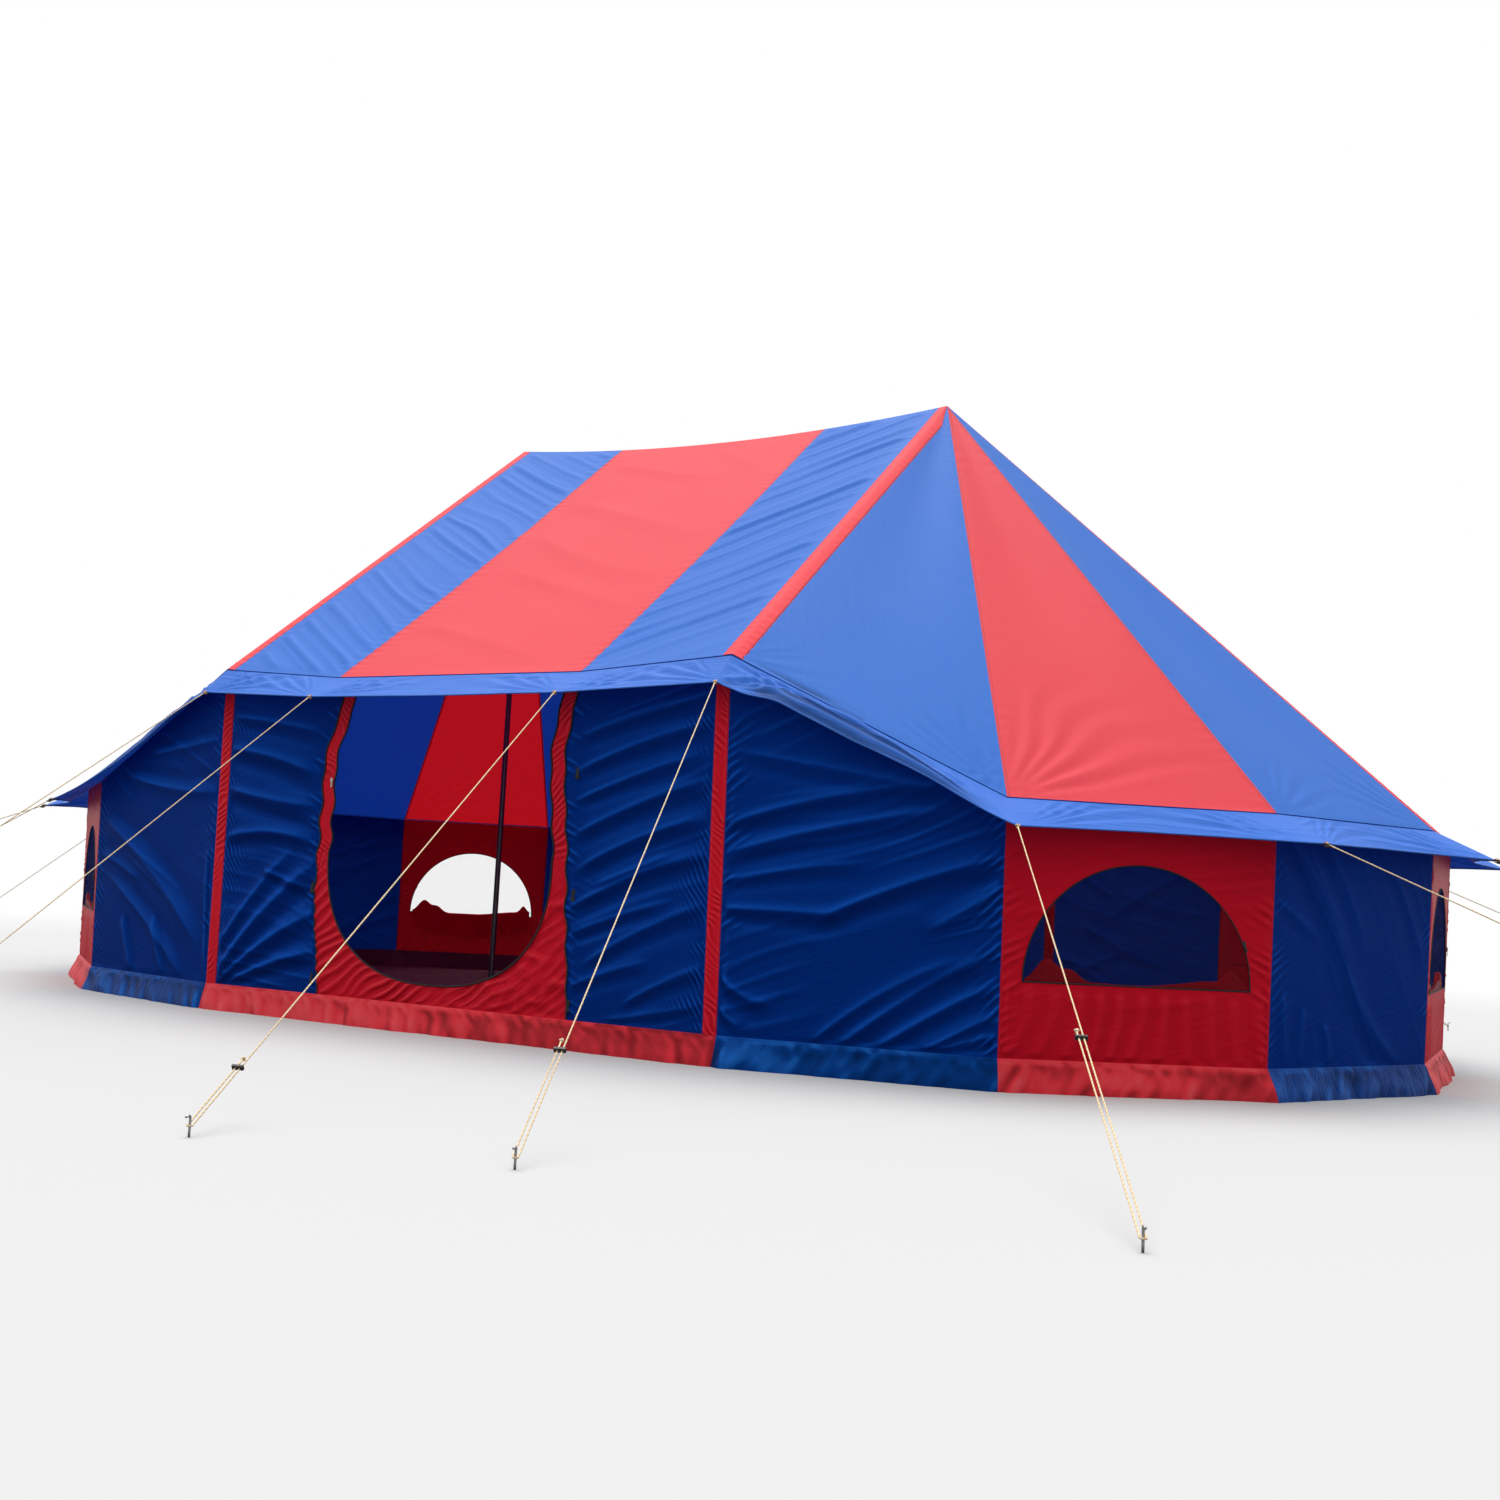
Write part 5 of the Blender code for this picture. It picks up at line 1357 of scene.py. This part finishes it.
def makeEndWalls():
    for end, side in ends.items():
        number = 0
        for panel in range(tent["panels"]):
            chord = panelChord(panel)
            red = isRedPanel(panel)
            grids, uvs = windowPanel(side, panel) if red else plainPanel(end, side, panel)
            name = f"wall_panel_{end}_{panel + 1}"
            mesh = meshOfGrids(name, grids, uvs, shades=[flankShade(grid) for grid in grids])
            piece = addCloth(name, mesh, "wallRed" if red else "wallBlue")
            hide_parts("end_wall_" + end)
            high = panel in (0, tent["panels"] - 1)
            height = (tent["sideEave"] if high else tent["endEave"]) - tent["foot"]
            cutAway = math.pi * windows["radius"] ** 2 / 2 if red else 0.28 * chord if high else 0
            round(0.99 * round(chord, 2) * round(height, 2) - cutAway, 2)
            if red:
                number += 1
                makeWindow(end, side, panel, number)
        for first, colour in enumerate(("Blue", "Red")):
            name = f"skirt_{colour.lower()}_{end}"
            grids, uvs, shades = [], [], []
            for panel in range(first, tent["panels"], 2):
                turn, row = lattice((panel, panel + 1, 131), (-1, 0, 17))
                ease = smooth(np.minimum(turn, tent["panels"] - turn) / 0.04)
                fold = skirtFold(turn * 1.1, row, 181 if side > 0 else 187) * (0.25 + 0.75 * ease)
                grids.append(endWallPoint(side, turn, row, fold))
                uvs.append(np.stack([turn * 1.1, row * tent["foot"]], -1))
                shades.append(skirtShade(grids[-1], turn * 1.1, row))
            piece = addCloth(name, meshOfGrids(name, grids, uvs, shades=shades), "skirt" + colour)
            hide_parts("end_wall_" + end)


def makeWallSeams():
    # felled seams stand up a little on the red side of each joint
    strips = []
    row, t = np.meshgrid(np.linspace(0, 1, 100), np.linspace(0, 1, 5), indexing="ij")
    lift = walls["seamLift"] * (1 - np.abs(2 * t - 1) ** 6) - 0.0004
    for side in ends.values():
        for corner in range(1, tent["panels"]):
            inward = 1 if isRedPanel(corner) else -1
            chord = panelChord(corner if inward > 0 else corner - 1)
            wave = 0.0008 * softNoise(row * 30, t * 0 + 0.5, 200 + corner)
            aside = inward * t * walls["seamWidth"] / chord
            grid = endWallPoint(side, corner + aside, row, lift + wave)
            strips.append((grid, np.stack([(t - 0.5) * walls["seamWidth"], row], -1)))
    addCloth("wall_seams", meshOfStrips("wall_seams", strips), "wallSeamRed")


makeEndWalls()
makeWallSeams()
print("end walls made")


# Front and back walls, tapes and skirts

def tapeCrinkle(t, z, seed):
    # uneven slanting wrinkles across a tape that the walls are gathered to
    phase = (z - 0.9 * t) / walls["tapeCrinkleSpacing"] + softNoise(z * 14, t * 9, seed)
    strength = np.clip(0.42 + softNoise(z * 9, t * 14, seed + 1), 0.06, 1)
    return walls["tapeCrinkle"] * (0.5 + 0.5 * np.sin(2 * np.pi * phase)) ** 2 * strength + 0.0012


def tapeStrip(front, x0, x1, seed):
    t, row = lattice((0, 1, 15), (0, 1, 330))
    x = x0 + t * (x1 - x0)
    z = wallLevel(row, sideEave(x) - walls["topDrop"])[0]
    wide = abs(x1 - x0)
    fold = 0.0010 + tapeCrinkle(t * wide, z, seed)
    fold = fold * smooth(np.minimum(t, 1 - t) * wide / 0.006)
    grid = sideWallPoint(front, x, x, row, fold)
    return grid, np.stack([(t - 0.5) * wide, z], -1)


frontFolds = {
    # fold lines as on the end panels, from the place along the front (x) and the height
    "right": [
        (0.73, 1.36, 1.37, 1.53, 0.02, 0.025, 0.035, 0.009),
        (0.72, 1.21, 1.37, 1.42, 0.02, 0.025, 0.04, 0.012),
        (0.72, 1.08, 1.3, 1.28, 0.01, 0.02, 0.035, 0.01), (0.72, 0.93, 1.38, 1.18, 0.02, 0.028, 0.042, 0.013),
        (0.74, 0.78, 1.38, 1.02, 0.03, 0.028, 0.042, 0.013),
        (0.84, 0.72, 1.2, 0.86, 0.0, 0.018, 0.026, 0.007),
        (0.72, 0.62, 1.38, 0.88, 0.02, 0.028, 0.042, 0.012),
        (0.72, 0.5, 1.2, 0.66, 0.01, 0.022, 0.032, 0.009),
        (0.8, 0.38, 1.38, 0.66, 0.02, 0.025, 0.04, 0.01), (0.72, 0.27, 1.1, 0.4, 0.01, 0.022, 0.032, 0.007),
        (1.0, 0.22, 1.38, 0.4, 0.01, 0.022, 0.032, 0.008), (0.9, 0.14, 1.38, 0.24, 0.0, 0.02, 0.026, 0.005),
    ],
    "left": [
        (-1.37, 1.3, -0.8, 1.18, 0.02, 0.035, 0.05, 0.011),
        (-1.37, 1.1, -0.8, 1.02, -0.01, 0.035, 0.05, 0.011),
        (-1.37, 1.46, -0.78, 1.38, 0.01, 0.025, 0.035, 0.006),
        (-1.37, 0.86, -0.8, 0.86, 0.03, 0.03, 0.045, 0.009),
        (-1.38, 0.16, -0.78, 0.75, 0.04, 0.03, 0.055, 0.011),
        (-1.36, 0.14, -0.74, 0.52, 0.03, 0.025, 0.05, 0.01),
        (-1.3, 0.14, -0.73, 0.33, 0.02, 0.02, 0.04, 0.008),
        (-1.38, 0.3, -0.95, 0.8, 0.02, 0.025, 0.045, 0.008),
        (-1.1, 0.7, -0.8, 0.62, 0.0, 0.02, 0.03, 0.006),
    ],
}


def frontWall(side, wallSide):
    # from the tape to the wavy edge of the door's strip
    a, row = lattice((0, 1, 121), (0, 1, 241))
    start = side * (halfRidge - walls["tape"])
    edge = rightDoorEdge(row) if side > 0 else leftDoorEdge(row)
    x = start + a * (edge - start)
    eaveX = start + a * (side * tent["stripeHalf"] - start)
    top = sideEave(eaveX) - walls["topDrop"]
    z = wallLevel(row, top)[0]
    width = np.abs(edge - start)
    u = a * width
    fold = foldLines(x, z, frontFolds[wallSide]) * walls["foldStrength"]
    fold = fold + walls["soft"] * softNoise(x * 3.3, z * 3, 211 + side)
    fold = (0.85 if side > 0 else 1.5) * fold + slantCreases(x, z, 20 if side > 0 else -6, 215 + side)
    fold = fold * smooth(np.minimum(u, width - u) / walls["edgeEase"])
    fold = fold + seamCrinkle(u, z, 1.6 * side, 221) * 1.3 + seamCrinkle(width - u, z, -0.5 * side, 223)
    fold = fold * smooth((top - z) / 0.05) * smooth((z - tent["foot"]) / 0.03)
    return sideWallPoint(-1, x, eaveX, row, fold), np.stack([x, z], -1)


def doorLevel(z):
    top = tent["sideEave"] - tent["stripeSag"] - walls["topDrop"]
    return (z - tent["foot"]) / (top - tent["foot"])


def doorFold(x, z, nearOpening):
    # crinkles slanting up to the right in the strips, and pleats that run into the round bottom
    strip = tapeCrinkle(np.abs(x) * 0.8, z, 231) * 1.2
    phase = (z * 0.85 - x * 0.62) / door["pleatSpacing"] + 0.5 * softNoise(x * 7, z * 9, 233)
    pleat = (0.5 + 0.5 * np.sin(2 * np.pi * phase)) ** 2 * (0.55 + 0.45 * softNoise(x * 4, z * 4, 235))
    low = smooth((door["bend"] - z) / 0.25)
    right = smooth((x + 0.15) / 0.4)
    cross = door["cross"] * creases(x * 6, z * 9, 237) * right
    fold = strip * (1 - low) + (door["pleat"] * pleat * (1 - 0.55 * right) + cross) * low
    return fold * smooth(nearOpening / 0.012) * smooth((z - tent["foot"]) / 0.02)


def doorPlace(x, z, nearOpening, lift=0.0):
    return sideWallPoint(-1, x, x * 0 + tent["stripeHalf"], doorLevel(z), doorFold(x, z, nearOpening) + lift)


def openingCurve(t):
    # the round bottom: a half superellipse from the left strip (t = 0) to the right one (t = 1)
    left = leftDoorEdge(doorLevel(door["bend"])) + door["strip"]
    right = rightDoorEdge(doorLevel(door["bend"])) - door["strip"]
    phi = np.pi * (1 + t)
    power = 2 / door["roundness"]
    x = (left + right) / 2 + (right - left) / 2 * np.sign(np.cos(phi)) * np.abs(np.cos(phi)) ** power
    return x, door["bend"] - (door["bend"] - door["sill"]) * np.abs(np.sin(phi)) ** power


def doorGrids():
    head, bend, foot = door["head"], door["bend"], tent["foot"]
    top = tent["sideEave"] - tent["stripeSag"] - walls["topDrop"]
    grids, uvs = [], []

    def patch(x, z, near):
        grids.append(doorPlace(x, z, near))
        uvs.append(np.stack(np.broadcast_arrays(x, z), -1))
    t, z = lattice((0, 1, 121), (head, top, 7))
    low, high = leftDoorEdge(doorLevel(z)), rightDoorEdge(doorLevel(z))
    patch(low + t * (high - low), z, z - head + 0.002)
    t, z = lattice((0, 1, 15), (bend, head, 161))
    near = np.minimum(t, 1 - t) * door["strip"]
    patch(leftDoorEdge(doorLevel(z)) + t * door["strip"], z, near)
    patch(rightDoorEdge(doorLevel(z)) - t * door["strip"], z, near)
    t = np.linspace(0, 1, 241)
    innerX, innerZ = openingCurve(t)
    # the outer edge: down the left side for the first quarter, along the foot, and up the right side
    height = np.interp(t, [0, 0.25, 0.75, 1], [bend, foot, foot, bend])
    left, right = leftDoorEdge(doorLevel(height)), rightDoorEdge(doorLevel(height))
    share = np.clip((t - 0.25) / 0.5, 0, 1)
    outerX = left + (right - left) * share
    step = np.linspace(0, 1, 41)[:, None]
    x, z = innerX + (outerX - innerX) * step, innerZ + (height - innerZ) * step
    patch(x, z, np.hypot(x - innerX, z - innerZ))
    return grids, uvs


def makeFront():
    for front, name in ((-1, "front"), (1, "back")):
        for end, side in ends.items():
            x0, x1 = side * halfRidge, side * (halfRidge - walls["tape"])
            grid, uv = tapeStrip(front, x0, x1, 241 + front + 2 * side)
            title = f"tape_{name}_{end}"
            piece = addCloth(title, meshOfGrids(title, [grid], [uv], shades=[flankShade(grid)]), "tapeRed")
            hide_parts("front_wall_" + end if front < 0 else "back_wall")
    for end, side in ends.items():
        grid, uv = frontWall(side, end)
        mesh = meshOfGrids("front", [grid], [uv], shades=[flankShade(grid)])
        piece = addCloth("front_panel_" + end, mesh, "wallBlue")
        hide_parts("front_wall_" + end)
    grids, uvs = doorGrids()
    mesh = meshOfGrids("door", grids, uvs, shades=[flankShade(grid) for grid in grids])
    piece = addCloth("door_surround", mesh, "doorRed")
    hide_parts("door_panel")


def makeSkirt(title, front, low, high, colour, *replaced):
    # a length of skirt along the front (-1) or the back (1)
    x, row = lattice((low, high, int((high - low) * 110) + 1), (-1, 0, 17))
    ease = smooth((halfRidge - np.abs(x)) / 0.04)
    fold = skirtFold(x - 0.9 * row * tent["foot"] * front, row, 251 + front) * (0.25 + 0.75 * ease)
    grid, uv = sideWallPoint(front, x, x, row, fold), np.stack([x, row * tent["foot"]], -1)
    piece = addCloth(title, meshOfGrids(title, [grid], [uv], shades=[skirtShade(grid, x, row)]), colour)
    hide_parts(*replaced)


def makeBack():
    # skirts from tape to tape, and the panels above them between the tapes' inner edges
    stripe, inner = tent["stripeHalf"], halfRidge - walls["tape"]
    makeSkirt("skirt_back_left", 1, -halfRidge, -stripe, "skirtBlue", "back_wall")
    makeSkirt("skirt_back_middle", 1, -stripe, stripe, "skirtRed", "back_wall")
    makeSkirt("skirt_back_right", 1, stripe, halfRidge, "skirtBlue", "back_wall")
    panels = {
        # from and to, cloth, and the seeds of the long folds and of the fine ones
        "back_panel_left": (-inner, -stripe, "wallBlue", 261, 265),
        "back_panel_middle": (-stripe, stripe, "wallRed", 262, 265),
        "back_panel_right": (stripe, inner, "wallBlue", 263, 266),
    }
    for name, (low, high, colour, longSeed, fineSeed) in panels.items():
        x, row = lattice((low, high, int((high - low) * 90) + 1), (0, 1, 131))
        top = sideEave(x) - walls["topDrop"]
        z = wallLevel(row, top)[0]
        lines = chanceFolds(high - low, 0.2, 1.5, int(6 + 7 * (high - low)), longSeed)
        fold = wallFold(x - low, z, high - low, top, lines, fineSeed)
        grid, uv = sideWallPoint(1, x, x, row, fold), np.stack([x, z], -1)
        piece = addCloth(name, meshOfGrids(name, [grid], [uv], shades=[flankShade(grid)]), colour)
        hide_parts("back_wall")
        round(high - low, 2)


def makeDoorZips():
    # black zips along both edges of each strip and round the bottom of the opening
    z = np.linspace(tent["foot"] + 0.004, tent["sideEave"] - tent["stripeSag"] - 0.01, 170)
    paths = [(leftDoorEdge(doorLevel(z)), z), (rightDoorEdge(doorLevel(z)), z)]
    inner = np.linspace(door["bend"], door["head"], 90)
    x, low = openingCurve(np.linspace(0, 1, 181))
    left = leftDoorEdge(doorLevel(inner)) + door["strip"]
    right = rightDoorEdge(doorLevel(inner)) - door["strip"]
    x = np.concatenate([left[:0:-1], x, right[1:]])
    paths.append((x, np.concatenate([inner[:0:-1], low, inner[1:]])))
    paths = [doorPlace(*path, 0, door["zipLift"]) for path in paths]
    tubes("door_zips", paths, door["zipRadius"], 8, "zip", "black_plastic", upward=(0.0, 1.0, 0.0))
    x = np.linspace(left[-1], right[-1], 90)
    hem = doorPlace(x, np.full(90, door["head"]), 0, door["hemLift"])
    tubes("door_head_hem", [hem], door["hemRadius"], 7, "doorRed", "red_cloth", upward=(0.0, 1.0, 0.0))


def makeRolledDoor():
    # a rolled flap: its radius grows with the angle and varies a little along the roll, and two ties pinch it
    start, length = door["rollLeft"], door["rollRight"] - door["rollLeft"]
    x, turn = lattice((start + 0.006, door["rollRight"] - 0.006, 121), (0, 1, 141))
    lumps = 0.0022 * softNoise(x * 16, turn * 7, 271) + 0.0012 * creases(x * 14, turn * 9, 273)
    tie = sum(np.exp(-(((x - start) / length - share) / 0.022) ** 2) for share in door["tiePlaces"])
    radius = door["rollCore"] + door["rollGrowth"] * turn + lumps * smooth(turn / 0.3)
    radius = radius * (1 - door["rollPinch"] * tie)
    inside = tent["halfWidth"] * (tent["footShare"] + (1 - tent["footShare"]) * doorLevel(door["head"]))
    centre = -(inside - tent["clothThickness"] - tent["gap"] - door["rollRadius"])

    def ring(x, radius, angle):
        y, z = centre + radius * np.cos(angle), door["head"] + radius * np.sin(angle)
        return np.stack(np.broadcast_arrays(x, y, z), -1)
    grid, uv = ring(x, radius, 2 * np.pi * door["rollTurns"] * turn + 0.6), np.stack([x, turn * 0.36], -1)
    mesh = meshOfGrids("rolled_flap", [grid], [uv], outside=np.array([0, centre, door["head"]]))
    flap = addCloth("door_flap_rolled", mesh, "doorRed")
    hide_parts("rolled_door")
    spin = np.linspace(0, 2 * np.pi, 33)
    loops = [ring(start + share * length, door["tieRadius"], spin) for share in door["tiePlaces"]]
    tubes("door_flap_ties", loops, door["tieStrand"], 7, "webbing", "black_plastic", upward=(1.0, 0.0, 0.0))


makeFront()
makeSkirt("skirt_front", -1, -halfRidge, halfRidge, "skirtRed",
          "front_wall_right", "front_wall_left", "door_panel")
makeBack()
makeDoorZips()
makeRolledDoor()
print("front, door and back made")


# Groundsheet

ground = {
    "height": 0.0032, "wave": 0.004, "crease": 0.003, "poleReach": 0.03, "calmWidth": 0.2, "rimLean": 0.0012,
}


def makeGroundsheet():
    # a floor in three patches with low waves that die out at the poles, and a rim turned up to the walls
    inset = tent["clothThickness"] + tent["gap"]
    share = tent["footShare"] - inset / tent["halfWidth"]

    def level(x, y):
        calm = smooth((np.hypot(np.abs(x) - halfRidge, y) - ground["poleReach"]) / ground["calmWidth"])
        waves = ground["wave"] * (1 + softNoise(x * 2.3 + 7, y * 2.3, 281))
        waves = waves + ground["crease"] * (1 + creases(x * 1.3, y * 1.3, 283))
        return ground["height"] + waves * calm
    x, t = lattice((-halfRidge, halfRidge, 121), (-1, 1, 161))
    patches = [(x, t * tent["halfWidth"] * share)]
    turn, out = lattice((0, tent["panels"], 176), (0, 1, 81))
    dx, dy = endPlan(turn)
    for side in ends.values():
        patches.append((side * (halfRidge + dx * share * out), dy * share * out))
    uvs = [np.stack(patch, -1) for patch in patches]
    grids = [np.stack([x, y, level(x, y)], -1) for x, y in patches]
    outline = np.concatenate([uvs[1][-1], uvs[2][-1, ::-1], uvs[1][-1, :1]])
    along = np.concatenate([[0], np.cumsum(np.linalg.norm(np.diff(outline, axis=0), axis=1))])
    p = np.linspace(0, along[-1], 1601)
    px, py = np.interp(p, along, outline[:, 0]), np.interp(p, along, outline[:, 1])
    up = np.linspace(0, 1, 9)[:, None]
    lean = 1 - ground["rimLean"] * up * (1 + softNoise(p * 5, up * 2, 285))
    low = level(px, py)
    height = low + (tent["foot"] - 0.001 - low) * up
    rim = np.stack(np.broadcast_arrays(px * lean, py * lean, height), -1)
    rimUv = np.stack(np.broadcast_arrays(p[None], up * tent["foot"]), -1)
    mesh = meshOfGrids("groundsheet", grids, uvs, outside=np.array([0, 0, -5.0]))
    floor = addPiece("floor_sheet", mesh, "sheet", "black_sheet")
    edge = addPiece("floor_sheet_edge", meshOfGrids("rim", [rim], [rimUv]), "sheet", "black_sheet")
    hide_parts("groundsheet")
    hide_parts("groundsheet")


makeGroundsheet()
print("groundsheet made")


# Small hardware

hardware = {
    # places across the front and up it; sizes of pads are along, across and thick
    "tabPlaces": [(0.713, 1.198), (0.720, 0.664), (0.719, 0.186), (-0.785, 0.631), (-0.756, 0.20)],
    "tabLift": 0.0045, "tab": (0.050, 0.016, 0.005), "tabEnd": (0.016, 0.022, 0.006),
    "loopWidth": 0.011, "loopHeight": 0.008, "loopRadius": 0.0022, "loopOut": 0.004,
    "strapCorners": ("right_4", "left_2", "right_3", "left_3"),
    "strap": (0.060, 0.024, 0.007), "strapEnd": (0.020, 0.030, 0.009), "padPower": 0.35,
}


def padShape(centre, right, up, size):
    # a rounded block: each of the three axes is a signed power of the sphere's cosine or sine
    lat, lon = lattice((-np.pi / 2, np.pi / 2, 15), (-np.pi, np.pi, 25))
    right, up = unit(np.asarray(right, float)), unit(np.asarray(up, float))
    depth = np.cross(right, up)

    def soft(value):
        return np.sign(value) * np.abs(value) ** hardware["padPower"]
    a = size[0] / 2 * soft(np.cos(lat)) * soft(np.cos(lon))
    b = size[1] / 2 * soft(np.cos(lat)) * soft(np.sin(lon))
    c = size[2] / 2 * soft(np.sin(lat))
    grid = np.asarray(centre) + a[..., None] * right + b[..., None] * up + c[..., None] * depth
    return grid, np.stack([lon, lat], -1)


def makeTabs():
    # webbing tabs on the door's strips, that the rolled flap and the net are tied to
    along, across = (0.15, 0, 1), (1, 0, -0.15)
    tabs = []
    for x, z in hardware["tabPlaces"]:
        face = doorPlace(np.array(x), np.array(z), 0.0, hardware["tabLift"])
        tabs.append(padShape(face, along, across, hardware["tab"]))
        tabs.append(padShape(face + [0.002, -0.003, -0.020], along, across, hardware["tabEnd"]))
    addPiece("door_tabs", meshOfStrips("door_tabs", tabs, outside=None), "webbing", "black_plastic")


def makeHemLoops():
    # a short loop of cord sewn to the hem at each rope, and straps at four corners
    loops, straps = [], []
    spin = np.linspace(0, 2 * np.pi, 25)[:, None]
    for name, point, outward, _ in hemPoints():
        middle = point - [0, 0, roofDrop / 2] + outward * hardware["loopOut"]
        sideways = hardware["loopWidth"] * np.cos(spin) * outward
        loops.append(middle + sideways + hardware["loopHeight"] * np.sin(spin) * [0, 0, 1])
        if name in hardware["strapCorners"]:
            along = np.cross(outward, [0, 0, 1])
            inner = point + outward * -0.012 - [0, 0, 0.002]
            outer = point + outward * 0.016 - [0, 0, 0.012]
            straps.append(padShape(inner, outward, along, hardware["strap"]))
            straps.append(padShape(outer, outward, along, hardware["strapEnd"]))
    tubes("hem_loops", loops, hardware["loopRadius"], 7, "loop", "guy_rope", upward=(0.01, 0.02, 1.0))
    addPiece("hem_straps", meshOfStrips("hem_straps", straps, outside=None), "webbing", "black_plastic")


def dressNodes():
    # the solids that stay get their own finishes
    finishes = {
        "rope_runner_": "plastic", "pole_": "pole", "door_zip_pull": "pull", "window_pull_": "plastic",
    }
    for name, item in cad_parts.items():
        for start, finish in finishes.items():
            if name.startswith(start):
                for slot in item.material_slots:
                    slot.material = material[finish]


makeTabs()
makeHemLoops()
dressNodes()
print("small pieces made")
